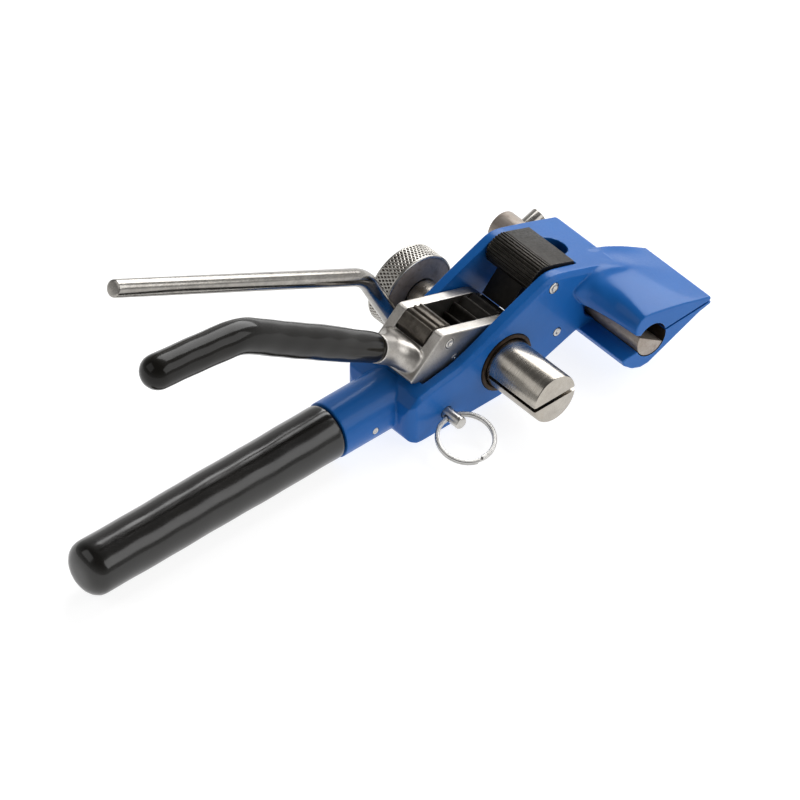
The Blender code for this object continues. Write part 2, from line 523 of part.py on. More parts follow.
finish(grub, "rod_grub_screw", BLACK, (CUT_AXIS[0], 0, CUT_AXIS[1]))
finish(rod((CUT_AXIS[0], 26.0, CUT_AXIS[1] + 6.2), (CUT_AXIS[0], 26.0, CUT_AXIS[1] + 9.9), 1.5, 14, 0.3), "shaft_retaining_pin", STEEL)

# ---------------------------------------------------------------- stop pin and split ring
EYE_Y = -23.2
RING_R = 11.7
rd = Vector((-2.2, -11.1, -2.95)).normalized()
rt = Vector((-rd.y, rd.x, 0)).normalized()      # hinge direction through the eye
rn = rt.cross(rd).normalized()
eye = Vector((PULL_PIN[0], EYE_Y, PULL_PIN[1]))
pin = rod((PULL_PIN[0], -29.2, PULL_PIN[1]), (PULL_PIN[0], 19.7, PULL_PIN[1]), 2.7, 22, 0.4)
cut(pin, rod(eye - rt * 6, eye + rt * 6, 1.6, 18))
finish(pin, "lever_stop_pin", STEEL, tuple(eye))
centre = eye + rd * RING_R
turn_rings = []
per, pitch = 26, 1.0                              # two turns of flat wire side by side, their ends at the far side from the eye
for i in range(1, 2 * per):
    a = 2 * math.pi * i / per
    out_ = rd * math.cos(a) + rt * math.sin(a)
    c = centre + out_ * RING_R + rn * (pitch * (i / per - 1))
    turn_rings.append([tuple(c + out_ * u + rn * v) for u, v in ((0.9, 0.15), (0.55, 0.45), (-0.55, 0.45), (-0.9, 0.15), (-0.9, -0.15), (-0.55, -0.45), (0.55, -0.45), (0.9, -0.15))])
finish(oval_loft(turn_rings), "split_ring", SPRING, tuple(eye))

# ---------------------------------------------------------------- parenting to the joint axes
bpy.context.view_layer.update()
def follow(parent, *names):
    for nme in names:
        o = bpy.data.objects[nme]
        w = o.matrix_world.copy()
        o.parent = parent
        o.matrix_parent_inverse = parent.matrix_world.inverted()
        o.matrix_world = w
follow(windlass_axis, "windlass_spindle", "ratchet_gear", "gear_key", "knurled_knob", "knob_screw", "spindle_circlip")
follow(lever_axis, "lever_fork", "lever_bar", "lever_grip", "drive_pawl_pin", "fork_dowel", "drive_pawl", "drive_pawl_spring")
follow(cut_axis, "cutter_shaft", "cutter_lever_rod", "rod_grub_screw")
follow(bpy.data.objects["lever_stop_pin"], "split_ring")
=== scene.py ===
import bpy, bmesh, math, json
import numpy as np
from mathutils import Vector, Matrix


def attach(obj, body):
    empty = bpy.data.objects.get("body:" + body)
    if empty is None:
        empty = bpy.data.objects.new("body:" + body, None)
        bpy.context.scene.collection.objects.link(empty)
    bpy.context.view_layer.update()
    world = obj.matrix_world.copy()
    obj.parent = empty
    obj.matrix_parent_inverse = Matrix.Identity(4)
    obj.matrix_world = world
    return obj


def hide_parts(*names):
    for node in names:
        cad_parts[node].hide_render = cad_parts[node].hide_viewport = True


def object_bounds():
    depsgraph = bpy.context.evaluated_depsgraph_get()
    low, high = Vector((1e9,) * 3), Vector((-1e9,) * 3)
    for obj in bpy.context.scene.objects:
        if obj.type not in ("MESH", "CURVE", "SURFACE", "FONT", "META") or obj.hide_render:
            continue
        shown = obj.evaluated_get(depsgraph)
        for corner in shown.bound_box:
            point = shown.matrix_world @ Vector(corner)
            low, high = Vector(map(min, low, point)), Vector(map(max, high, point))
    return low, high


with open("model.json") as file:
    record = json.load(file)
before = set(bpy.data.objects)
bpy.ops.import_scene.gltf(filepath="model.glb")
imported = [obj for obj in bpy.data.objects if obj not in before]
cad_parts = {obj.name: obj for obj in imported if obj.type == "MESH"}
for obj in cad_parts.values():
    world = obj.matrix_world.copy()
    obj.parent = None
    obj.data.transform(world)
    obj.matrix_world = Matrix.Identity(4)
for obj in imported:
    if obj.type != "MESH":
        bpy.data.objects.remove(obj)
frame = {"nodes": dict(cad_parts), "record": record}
cad_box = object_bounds()
NODES = frame["nodes"]
JOINT = {j["name"]: j for j in frame["record"]["behaviour"]["joints"]}

MM = 0.001
AX = JOINT["windlass_turn"]["pos_m"][0] * 1000      # windlass axis, mm in the frame
AZ = JOINT["windlass_turn"]["pos_m"][2] * 1000

# ---------------------------------------------------------------- camera
R3 = Matrix(((0.7547096, 0.4398394, -0.4867799),
             (-0.6560590, 0.5059774, -0.5599763),
             (0.0, 0.7419758, 0.6704266)))
M4 = R3.to_4x4()
M4.translation = Vector((-2.3630695, -2.7201524, 3.2627068))
cd = bpy.data.cameras.new("photo_view")
cam = bpy.data.objects.new("photo_view", cd)
bpy.context.scene.collection.objects.link(cam)
cd.sensor_width = 36.0
cd.lens = 540.0
cd.clip_start, cd.clip_end = 0.5, 60.0
cam.matrix_world = M4
bpy.context.scene.camera = cam

# ---------------------------------------------------------------- sizes (mm, from the windlass axis)
CHEEK = 20.0
WINDOW = 14.5
SPINDLE_R, SPINDLE_END = 11.0, -50.0
KNOB_R, KNOB_FACE_R, KNOB_Y = 18.3, 17.6, (33.2, 45.2)
ARM_IN, ARM_OUT, HUB_R = 8.5, 13.5, 16.0
FORK_PIN, FORK_DOWEL = (-24.7, 20.1), (-22.0, 11.3)
PAWL_PIN, CROSS_PIN, PULL_PIN = (25.7, 24.9), (27.6, 0.2), (-31.9, -8.5)
CUT, CUT_R, BOSS_R, BOSS_END, CUT_END = (54.8, -1.8), 7.5, 9.8, 31.8, 45.4
ROD_CROSS_Y, ROD_Y, ROD_R, RISE = 36.4, 27.0, 3.8, 18.0
HZ, HR, SR, BR = -4.6, 12.0, 12.3, 8.5
H_END, H_START = -208.6, -78.5
LEVER_R, CORE_R = 7.5, 4.5
LEVER_PATH = [(-43.2, 18.8), (-124.2, 74.0), (-173.4, 80.3)]
GAP = 0.3

# ---------------------------------------------------------------- mesh helpers
def to_mesh(verts, faces, name="shape"):
    me = bpy.data.meshes.new(name)
    me.from_pydata([((x + AX) * MM, y * MM, (z + AZ) * MM) for x, y, z in verts], [], faces)
    bm = bmesh.new()
    bm.from_mesh(me)
    bmesh.ops.recalc_face_normals(bm, faces=bm.faces[:])
    bm.to_mesh(me)
    bm.free()
    return me

def temp(me):
    o = bpy.data.objects.new("shape", me)
    bpy.context.scene.collection.objects.link(o)
    return o

def extrude(points, lo, hi, place):
    n = len(points)
    verts = [place(a, b, lo) for a, b in points] + [place(a, b, hi) for a, b in points]
    faces = [list(range(n)), list(range(2 * n - 1, n - 1, -1))]
    faces += [[i, (i + 1) % n, n + (i + 1) % n, n + i] for i in range(n)]
    return temp(to_mesh(verts, faces))

def plate(points, y0, y1):
    return extrude(points, y0, y1, lambda a, b, t: (a, t, b))

def post(points, z0, z1):
    return extrude(points, z0, z1, lambda a, b, t: (a, b, t))

def block(x0, x1, y0, y1, z0, z1):
    return plate([(x0, z0), (x1, z0), (x1, z1), (x0, z1)], y0, y1)

def arc(cx, cy, r, a0, a1, n):
    return [(cx + r * math.cos(math.radians(a0 + (a1 - a0) * i / n)),
             cy + r * math.sin(math.radians(a0 + (a1 - a0) * i / n))) for i in range(n + 1)]

def circle(c, r, n):
    return arc(c[0], c[1], r, 0, 360 * (n - 1) / n, n - 1)

def disc(c, r, y0, y1, n=64):
    return plate(circle(c, r, n), y0, y1)

def soften(points, cut, steps=4):
    """Rounds each corner of a closed outline, starting the curve at most cut mm before it."""
    out = []
    n = len(points)
    for i in range(n):
        p, a, b = Vector(points[i]), Vector(points[i - 1]), Vector(points[(i + 1) % n])
        c = cut[i] if isinstance(cut, (list, tuple)) else cut
        s = p + (a - p).normalized() * min(c, (a - p).length * 0.48)
        e = p + (b - p).normalized() * min(c, (b - p).length * 0.48)
        for k in range(steps + 1):
            t = k / steps
            q = s * (1 - t) ** 2 + p * (2 * t * (1 - t)) + e * t ** 2
            out.append((q.x, q.y))
    return out

def spline(points, steps=5):
    """Catmull-Rom through open points of any size."""
    P = [np.array(p, float) for p in points]
    P = [2 * P[0] - P[1]] + P + [2 * P[-1] - P[-2]]
    out = []
    for i in range(1, len(P) - 2):
        for k in range(steps):
            t = k / steps
            out.append(0.5 * (2 * P[i] + (P[i + 1] - P[i - 1]) * t + (2 * P[i - 1] - 5 * P[i] + 4 * P[i + 1] - P[i + 2]) * t * t
                              + (-P[i - 1] + 3 * P[i] - 3 * P[i + 1] + P[i + 2]) * t ** 3))
    out.append(P[-2])
    return out

def loft(sections):
    n = len(sections[0][1])
    verts = [(x, y, z) for y, pts in sections for x, z in pts]
    faces = [list(range(n)), [len(verts) - 1 - i for i in range(n)]]
    for s in range(len(sections) - 1):
        a, b = s * n, (s + 1) * n
        faces += [[a + i, a + (i + 1) % n, b + (i + 1) % n, b + i] for i in range(n)]
    return temp(to_mesh(verts, faces))

def fillet_path(corners, radii, steps=14):
    pts = [Vector(corners[0])]
    for i in range(1, len(corners) - 1):
        p, a, b = Vector(corners[i]), Vector(corners[i - 1]), Vector(corners[i + 1])
        u, v = (a - p).normalized(), (b - p).normalized()
        half = u.angle(v) / 2
        t = radii[i - 1] / math.tan(half)
        c = p + (u + v).normalized() * (radii[i - 1] / math.sin(half))
        s, e = p + u * t, p + v * t
        axis = (s - c).cross(e - c).normalized()
        for k in range(steps + 1):
            pts.append(c + Matrix.Rotation((math.pi - 2 * half) * k / steps, 3, axis) @ (s - c))
    pts.append(Vector(corners[-1]))
    return pts

def sweep(points, profile, seg=48, wobble=None):
    """A round solid along a path. profile: (distance, radius) pole to pole; wobble(s, angle) adds to the radius."""
    dist = [0.0]
    for a, b in zip(points, points[1:]):
        dist.append(dist[-1] + (b - a).length)
    total = dist[-1]
    def at(s):
        s = max(0.0, min(total, s))
        k = 0
        while k < len(dist) - 2 and s > dist[k + 1]:
            k += 1
        return points[k].lerp(points[k + 1], (s - dist[k]) / (dist[k + 1] - dist[k]))
    def tangent(s):
        e = 0.6
        return (at(min(total, s + e)) - at(max(0.0, s - e))).normalized()
    stations = [profile[0]]
    for (s0, r0), (s1, r1) in zip(profile, profile[1:]):
        lo, hi = min(s0, s1), max(s0, s1)
        mid = [d for d in dist if lo + 0.3 < d < hi - 0.3]
        if wobble and hi - lo > 6:
            mid += list(np.arange(lo + 2.5, hi - 2.0, 2.5))
        mid = sorted(mid, reverse=s1 < s0)
        for d in mid:
            stations.append((d, r0 + (r1 - r0) * (d - s0) / (s1 - s0)))
        stations.append((s1, r1))
    verts, rings = [], []
    for s, r in stations:
        t = tangent(s)
        b = Vector((0, 1, 0)) if abs(t.y) < 0.9 else Vector((0, 0, 1))
        n = b.cross(t).normalized()
        b = t.cross(n).normalized()
        c = at(s)
        if r <= 1e-6:
            rings.append([len(verts)])
            verts.append(c)
        else:
            rings.append(list(range(len(verts), len(verts) + seg)))
            for i in range(seg):
                a = 2 * math.pi * i / seg
                rr = r + (wobble(s, a) if wobble else 0.0)
                verts.append(c + n * (rr * math.cos(a)) + b * (rr * math.sin(a)))
    faces = []
    for p, q in zip(rings, rings[1:]):
        for i in range(seg):
            j = (i + 1) % seg
            if len(p) == 1 and len(q) == 1:
                continue
            if len(p) == 1:
                faces.append([p[0], q[j], q[i]])
            elif len(q) == 1:
                faces.append([p[i], p[j], q[0]])
            else:
                faces.append([p[i], p[j], q[j], q[i]])
    return temp(to_mesh([tuple(v) for v in verts], faces))

def rod(a, b, r, seg=48, chamfer=0.0, dimple=0.0):
    a, b = Vector(a), Vector(b)
    L = (b - a).length
    prof = [(0, 0), (0, r), (L, r), (L, 0)]
    if chamfer:
        k = chamfer * 0.3
        prof = [(0, 0), (0, r - chamfer), (k, r - k), (chamfer, r), (L - chamfer, r), (L - k, r - k), (L, r - chamfer), (L, 0)]
    if dimple:
        prof = [(0.55, 0), (0.35, dimple * 0.6), (0.06, dimple), (0, dimple + 0.12)] + prof[1:-1] + [(L, dimple + 0.12), (L - 0.06, dimple), (L - 0.35, dimple * 0.6), (L - 0.55, 0)]
    return sweep([a, b], prof, seg)

def turned_y(c, profile, seg=96):
    y0 = min(p[0] for p in profile)
    y1 = max(p[0] for p in profile)
    return sweep([Vector((c[0], y0, c[1])), Vector((c[0], y1, c[1]))], [(y - y0, r) for y, r in profile], seg)

def tube_loop(points, r, seg=14):
    verts, rings, n = [], [], None
    for i, p in enumerate(points):
        t = (points[min(i + 1, len(points) - 1)] - points[max(i - 1, 0)]).normalized()
        if n is None:
            n = t.orthogonal().normalized()
        n = (n - t * n.dot(t)).normalized()
        b = t.cross(n)
        rings.append(list(range(len(verts), len(verts) + seg)))
        for k in range(seg):
            a = 2 * math.pi * k / seg
            verts.append(tuple(p + n * (r * math.cos(a)) + b * (r * math.sin(a))))
    faces = [list(reversed(rings[0])), rings[-1]]
    for p, q in zip(rings, rings[1:]):
        faces += [[p[i], p[(i + 1) % seg], q[(i + 1) % seg], q[i]] for i in range(seg)]
    return temp(to_mesh(verts, faces))

def ring_loft(rings):
    n = len(rings[0])
    verts = [tuple(p) for r in rings for p in r]
    faces = [list(range(n)), [len(verts) - 1 - i for i in range(n)]]
    for j in range(len(rings) - 1):
        faces += [[j * n + i, j * n + (i + 1) % n, (j + 1) * n + (i + 1) % n, (j + 1) * n + i] for i in range(n)]
    o = temp(to_mesh(verts, faces))
    b = bmesh.new()
    b.from_mesh(o.data)
    bmesh.ops.recalc_face_normals(b, faces=b.faces[:])
    b.to_mesh(o.data)
    b.free()
    return o

def apply_all(o):
    bpy.context.view_layer.update()
    me = bpy.data.meshes.new_from_object(o.evaluated_get(bpy.context.evaluated_depsgraph_get()))
    o.modifiers.clear()
    o.data = me
    return o

def boolean(a, b, how, solver="EXACT"):
    m = a.modifiers.new("b", "BOOLEAN")
    m.operation, m.solver, m.object = how, solver, b
    apply_all(a)
    bpy.data.objects.remove(b, do_unlink=True)
    return a

def cut(a, *others, solver="EXACT"):
    for b in others:
        boolean(a, b, "DIFFERENCE", solver)
    return a

def fuse(a, *others, solver="EXACT"):
    for b in others:
        boolean(a, b, "UNION", solver)
    return a

def cast(o, voxel, passes, keep=0.4):
    """Turns crisp solids into a casting: every edge and inner corner gets a small radius."""
    m = o.modifiers.new("r", "REMESH")
    m.mode, m.voxel_size, m.adaptivity = "VOXEL", voxel * MM, 0.0
    m = o.modifiers.new("s", "SMOOTH")
    m.factor, m.iterations = 0.5, passes
    if keep < 1:
        m = o.modifiers.new("d", "DECIMATE")
        m.decimate_type, m.ratio = "COLLAPSE", keep
    return apply_all(o)

def bevel(o, width, segments=2, angle=30):
    bm = bmesh.new()
    bm.from_mesh(o.data)
    bmesh.ops.remove_doubles(bm, verts=bm.verts[:], dist=1e-6)
    bmesh.ops.dissolve_limit(bm, angle_limit=math.radians(0.5), verts=bm.verts[:], edges=bm.edges[:])
    bm.to_mesh(o.data)
    bm.free()
    m = o.modifiers.new("v", "BEVEL")
    m.width, m.segments, m.limit_method, m.angle_limit = width * MM, segments, "ANGLE", math.radians(angle)
    m.use_clamp_overlap = True
    return apply_all(o)

def piece(o, name, material, body, nodes=(), sharp=35):
    o.name = name
    o.data.name = name
    o.data.materials.clear()
    o.data.materials.append(material)
    o.data.shade_smooth()
    if sharp:
        o.data.set_sharp_from_angle(angle=math.radians(sharp))
    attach(o, body)
    if nodes:
        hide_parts(*nodes)
    return o

# ---------------------------------------------------------------- materials
class Mat:
    def __init__(s, name):
        s.m = bpy.data.materials.new(name)
        s.m.use_nodes = True
        s.nt = s.m.node_tree
        s.b = s.nt.nodes["Principled BSDF"]
        tc = s.nt.nodes.new("ShaderNodeTexCoord")
        s.co = tc.outputs["Object"]
    def set(s, **kw):
        for k, v in kw.items():
            s.b.inputs[k.replace("_", " ")].default_value = v
        return s
    def link(s, a, b):
        s.nt.links.new(a, b)
    def noise(s, scale, detail=3.0, rough=0.5, stretch=(1, 1, 1), distort=0.0):
        """scale in cycles per mm"""
        mp = s.nt.nodes.new("ShaderNodeMapping")
        mp.inputs["Scale"].default_value = [1000 * scale * v for v in stretch]
        n = s.nt.nodes.new("ShaderNodeTexNoise")
        n.inputs["Scale"].default_value = 1.0
        n.inputs["Detail"].default_value = detail
        n.inputs["Roughness"].default_value = rough
        n.inputs["Distortion"].default_value = distort
        s.link(s.co, mp.inputs["Vector"])
        s.link(mp.outputs[0], n.inputs["Vector"])
        return n.outputs["Fac"]
    def ramp(s, fac, stops, interp="LINEAR"):
        r = s.nt.nodes.new("ShaderNodeValToRGB")
        r.color_ramp.interpolation = interp
        e = r.color_ramp.elements
        while len(e) < len(stops):
            e.new(0.5)
        for el, (p, c) in zip(e, stops):
            el.position = p
            el.color = (*c, 1) if hasattr(c, "__len__") else (c, c, c, 1)
        s.link(fac, r.inputs[0])
        return r.outputs[0]
    def math(s, op, a, b=None, clamp=False):
        n = s.nt.nodes.new("ShaderNodeMath")
        n.operation, n.use_clamp = op, clamp
        for i, v in enumerate((a, b)):
            if v is None:
                continue
            if isinstance(v, (int, float)):
                n.inputs[i].default_value = v
            else:
                s.link(v, n.inputs[i])
        return n.outputs[0]
    def mix(s, fac, a, b, blend="MIX"):
        n = s.nt.nodes.new("ShaderNodeMix")
        n.data_type, n.blend_type = "RGBA", blend
        for sock, v in ((n.inputs[0], fac), (n.inputs[6], a), (n.inputs[7], b)):
            if isinstance(v, (int, float)):
                sock.default_value = v
            elif isinstance(v, tuple):
                sock.default_value = (*v, 1)
            else:
                s.link(v, sock)
        return n.outputs[2]
    def edges(s, radius, gain, samples=4):
        """1 along convex and concave edges, 0 on flats."""
        bv = s.nt.nodes.new("ShaderNodeBevel")
        bv.samples = samples
        bv.inputs["Radius"].default_value = radius * MM
        g = s.nt.nodes.new("ShaderNodeNewGeometry")
        d = s.nt.nodes.new("ShaderNodeVectorMath")
        d.operation = "DOT_PRODUCT"
        s.link(bv.outputs[0], d.inputs[0])
        s.link(g.outputs["Normal"], d.inputs[1])
        return s.math("MULTIPLY", s.math("SUBTRACT", 1.0, d.outputs["Value"]), gain, clamp=True)
    def bump(s, *layers):
        prev = None
        for h, strength, dist in layers:
            n = s.nt.nodes.new("ShaderNodeBump")
            n.inputs["Strength"].default_value = strength
            n.inputs["Distance"].default_value = dist * MM
            s.link(h, n.inputs["Height"])
            if prev is not None:
                s.link(prev, n.inputs["Normal"])
            prev = n.outputs[0]
        s.link(prev, s.b.inputs["Normal"])
        return s
    def color(s, out):
        s.link(out, s.b.inputs["Base Color"])
        return s
    def rough(s, out):
        s.link(out, s.b.inputs["Roughness"])
        return s

# blue enamel on a casting
BLUE = Mat("blue_enamel").set(Metallic=0.0, Specular_IOR_Level=0.20, Coat_Weight=0.12, Coat_Roughness=0.07, Coat_IOR=1.5)
n1, n2 = BLUE.noise(0.035, 4, 0.6), BLUE.noise(1.1, 3, 0.6)
c = BLUE.ramp(n1, [(0.3, (0.007, 0.112, 0.40)), (0.7, (0.010, 0.130, 0.45))])
c = BLUE.mix(BLUE.ramp(BLUE.noise(0.55, 6, 0.7), [(0.66, 0.0), (0.76, 0.5)]), c, (0.010, 0.07, 0.30))
# painted highlight: along convex and concave edges the enamel colour is lightened to a pale blue
c = BLUE.mix(BLUE.edges(0.45, 3.5), c, (0.07, 0.24, 0.62))
BLUE.color(c).rough(BLUE.ramp(n2, [(0.3, 0.30), (0.7, 0.42)]))
BLUE.bump((BLUE.noise(0.28, 4, 0.55), 0.35, 0.12), (BLUE.noise(1.6, 2, 0.5), 0.16, 0.03))

# glossy vinyl dip
PVC = Mat("black_pvc_dip").set(Metallic=0.0, Coat_Weight=0.15, Coat_Roughness=0.08, Coat_IOR=1.45)
PVC_LEVER = Mat("black_pvc_dip_lever").set(Metallic=0.0, Specular_IOR_Level=0.14, Coat_Weight=0.22, Coat_Roughness=0.03, Coat_IOR=1.5)
for dip in (PVC, PVC_LEVER):
    c = dip.ramp(dip.noise(0.06, 3, 0.6), [(0.3, (0.0072, 0.0066, 0.0056)), (0.7, (0.0112, 0.0100, 0.0082))])
    dip.color(c).rough(dip.ramp(dip.noise(0.25, 5, 0.7, (0.25, 1, 1)), [(0.35, 0.15), (0.7, 0.27)]))
    dip.bump((dip.noise(0.05, 2, 0.5, (0.5, 1, 1)), 0.5, 0.25), (dip.noise(0.9, 3, 0.6), 0.12, 0.02))

def steel(name, c1, c2, r0, r1, stretch, grain=0.25, stain=None, aniso=0.0, mark=0.35):
    s = Mat(name).set(Metallic=1.0)
    streak = s.noise(1.6, 4, 0.6, stretch)
    cloud = s.noise(0.12, 5, 0.65)
    c = s.ramp(cloud, [(0.3, c1), (0.7, c2)])
    c = s.mix(s.ramp(streak, [(0.35, 0.0), (0.65, mark)]), c, tuple(v * 0.72 for v in c1))
    if stain:
        c = s.mix(s.ramp(s.noise(0.35, 6, 0.7, (1, 1, 1), 0.6), [(0.52, 0.0), (0.70, 0.6)]), c, stain)
    s.color(c).rough(s.ramp(s.noise(0.6, 5, 0.7, stretch), [(0.3, r0), (0.7, r1)]))
    s.bump((streak, grain, 0.02), (s.noise(0.5, 4, 0.6), grain * 0.6, 0.03))
    if aniso:
        s.set(Anisotropic=aniso)
    return s

ALONG_Y = (1.0, 0.06, 1.0)    # long scratches along Y
ROUND_Y = (0.05, 1.0, 0.05)   # turning marks round the Y axis
STEEL_T = steel("turned_steel", (0.37, 0.34, 0.30), (0.52, 0.485, 0.43), 0.20, 0.32, ROUND_Y, 0.03, (0.40, 0.36, 0.31), mark=0.12)
STEEL_F = steel("plated_rod_steel", (0.27, 0.255, 0.235), (0.38, 0.365, 0.34), 0.14, 0.26, (0.06, 1, 1), 0.18, (0.42, 0.39, 0.35))
STEEL_P = steel("pin_steel", (0.55, 0.53, 0.50), (0.70, 0.68, 0.64), 0.24, 0.40, (1, 1, 1), 0.25)
KNOB = steel("knurled_steel", (0.38, 0.365, 0.335), (0.52, 0.50, 0.465), 0.22, 0.36, (1, 1, 1), 0.15)
# painted reflection: the turned face and chamfer get a dark brown base with brown blotches, standing in for the brown
# reflections in the face
KNOB_FACE = steel("knob_face_painted_reflection", (0.27, 0.215, 0.17), (0.42, 0.35, 0.29), 0.42, 0.58, ROUND_Y, 0.3, (0.17, 0.12, 0.09)).set(Metallic=0.35)
# painted shade: near-black steel for the floors of the knurl pits
KNURL_PIT_SHADE = steel("knurl_pit_shade", (0.07, 0.055, 0.045), (0.15, 0.12, 0.10), 0.40, 0.55, (1, 1, 1), 0.2)
BORE = steel("bare_bore", (0.10, 0.08, 0.06), (0.22, 0.18, 0.14), 0.35, 0.5, ROUND_Y, 0.3, (0.05, 0.04, 0.03))
CUTTER = steel("hardened_steel", (0.30, 0.25, 0.21), (0.46, 0.41, 0.36), 0.34, 0.52, ALONG_Y, 0.35, (0.17, 0.125, 0.10)).set(Metallic=0.6)
SPRING = steel("spring_steel", (0.50, 0.49, 0.47), (0.66, 0.65, 0.63), 0.26, 0.34, (0.4, 0.4, 0.4), 0.01, mark=0.08)

# tumbled nickel casting, with the sand texture still in it
NICKEL = Mat("nickel_casting").set(Metallic=1.0)
c = NICKEL.ramp(NICKEL.noise(0.15, 5, 0.65), [(0.3, (0.36, 0.34, 0.315)), (0.7, (0.52, 0.495, 0.46))])
pit = NICKEL.noise(1.5, 4, 0.65)
c = NICKEL.mix(NICKEL.ramp(pit, [(0.30, 0.55), (0.45, 0.0)]), c, (0.22, 0.20, 0.18))
# painted highlight: convex and concave edges are lightened to near white
c = NICKEL.mix(NICKEL.edges(0.7, 6.0), c, (0.90, 0.88, 0.84))
NICKEL.color(c).rough(NICKEL.ramp(pit, [(0.3, 0.46), (0.7, 0.30)]))
NICKEL.bump((NICKEL.noise(0.4, 4, 0.6), 0.4, 0.10), (pit, 0.35, 0.05))

# oiled black oxide; bright edges that are partly wear and partly painted highlight
BLACK, BLACK_WORN_SHEEN = Mat("black_oxide_steel").set(Metallic=0.75), Mat("black_oxide_worn_sheen").set(Metallic=0.7)
for ox, k in ((BLACK, 0.35), (BLACK_WORN_SHEEN, 2.2)):
    c = ox.ramp(ox.noise(0.3, 5, 0.65), [(0.3, (0.028 * k, 0.024 * k, 0.020 * k)), (0.7, (0.066 * k, 0.058 * k, 0.048 * k))])
    c = ox.mix(ox.ramp(ox.noise(1.3, 5, 0.7), [(0.62, 0.0), (0.78, 0.5)]), c, (0.17 * k, 0.14 * k, 0.11 * k))
    # painted highlight mixed with wear: convex and concave edges, broken up by noise, are lightened toward pale steel
    wear_and_highlight = ox.math("MULTIPLY", ox.edges(0.35, 3.0), ox.ramp(ox.noise(0.7, 4, 0.6), [(0.35, 0.25), (0.65, 1.0)]), clamp=True)
    c = ox.mix(wear_and_highlight, c, (0.38, 0.34, 0.28))
    ox.color(c).rough(ox.ramp(ox.noise(0.8, 4, 0.6), [(0.3, 0.32), (0.7, 0.52)]))
    ox.bump((ox.noise(1.2, 4, 0.6), 0.3, 0.04), (ox.noise(0.3, 3, 0.5), 0.2, 0.06))

# near-black bronze for the bushes: partly the bronze's own colour, partly painted shade around the mandrel's base
BRONZE = Mat("oiled_bronze").set(Metallic=0.9)
c = BRONZE.ramp(BRONZE.noise(0.4, 5, 0.65), [(0.3, (0.020, 0.014, 0.010)), (0.7, (0.065, 0.042, 0.027))])
BRONZE.color(c).rough(BRONZE.ramp(BRONZE.noise(0.9, 4, 0.6), [(0.3, 0.35), (0.7, 0.55)]))
BRONZE.bump((BRONZE.noise(1.2, 4, 0.6), 0.3, 0.04))

# ---------------------------------------------------------------- body casting
OUTLINE = [(-52.0, -12.2), (-50.6, -14.8), (-47.8, -16.6), (-45.0, -17.0), (-3.0, -17.0), (20.0, -11.6), (38.0, -5.6), (44.0, -8.6),
           (50.0, -11.9), (60.0, -11.9), (64.0, -6.0), (64.3, 4.0), (62.7, 15.6), (60.8, 17.8), (45.0, 24.0),
           (33.8, 28.2), (28.0, 30.1), (23.5, 30.3), (4.0, 22.5), (-7.0, 17.6), (-15.0, 14.0), (-25.0, 10.2),
           (-40.0, 8.0), (-46.0, 6.4), (-50.6, 2.6), (-52.0, -2.0)]
LOWER = [(39.3, -4.9), (40.1, -7.8), (44.4, -11.6), (49.3, -13.7), (53.4, -13.5)]
HEAD = [
    (-47.0, [(70.0, 8.3), (54.0, 12.2), (50.2, 12.0), (47.6, 9.8), (46.5, 6.8), (46.9, 4.2)]),
    (-34.0, [(70.8, 9.6), (55.6, 14.6), (50.4, 14.9), (46.6, 12.4), (44.8, 8.8), (45.0, 5.0)]),
    (-24.5, [(72.0, 10.5), (58.0, 16.4), (50.0, 19.0), (44.0, 18.0), (41.4, 13.2), (42.0, 7.4)]),
    (-20.0, [(72.5, 10.8), (61.3, 17.4), (51.0, 21.2), (43.0, 20.4), (36.2, 16.8), (40.0, 8.5)]),
    (-11.5, [(73.0, 10.5), (61.8, 17.0), (53.0, 20.4), (45.0, 20.6), (40.0, 15.4), (41.4, 8.2)]),
    (-7.0, [(74.0, 11.6), (62.2, 17.9), (54.0, 20.2), (46.0, 20.8), (42.0, 15.0), (42.0, 8.1)]),
]
def inset(points, depth):
    out = []
    for i, p in enumerate(points):
        a, b, c = Vector(points[i - 1]), Vector(p), Vector(points[(i + 1) % len(points)])
        n1 = Vector((-(b - a).y, (b - a).x)).normalized()
        n2 = Vector((-(c - b).y, (c - b).x)).normalized()
        m = (n1 + n2).normalized()
        out.append(tuple(b + m * (depth[i] / max(0.5, m.dot(n1)))))
    return out
cuts = [3.0 if -40 < x < 34 and z > 8 else 0.6 for x, z in OUTLINE]
depth = [2.0 if z > 5 and x < 62 else 0.6 for x, z in OUTLINE]
full, small = soften(OUTLINE, cuts), soften(inset(OUTLINE, depth), cuts)
body = loft([(-CHEEK, small), (-CHEEK + 1.5, full), (CHEEK - 1.5, full), (CHEEK, small)])
for side in (-1, 1):
    cut(body, post([(-54.0, side * 22.0), (-46.5, side * 22.0)] + [(x, side * y) for x, y in arc(-46.5, 14.6, 5.5, 90, 180, 10)] + [(-54.0, side * 14.6)], -40, 40))
ys = [s[0] for s in HEAD]
rows = [spline([np.array([s[0], *[v for p in s[1] for v in p]]) for s in HEAD], 5)][0]
secs = []
for row in rows:
    pts = [(row[1 + 2 * k], row[2 + 2 * k]) for k in range(6)]
    top = [tuple(q) for q in spline([(87.4, 2.7)] + pts, 8)]
    secs.append((row[0], [(81.5, -2.2), (87.4, -1.0)] + top + LOWER))
fuse(body, loft(secs))
fuse(body, rod((-78.0, 0, HZ), (-44.0, 0, HZ), SR, 72))
fuse(body, disc(CUT, BOSS_R, CHEEK - 1.0, BOSS_END, 64))
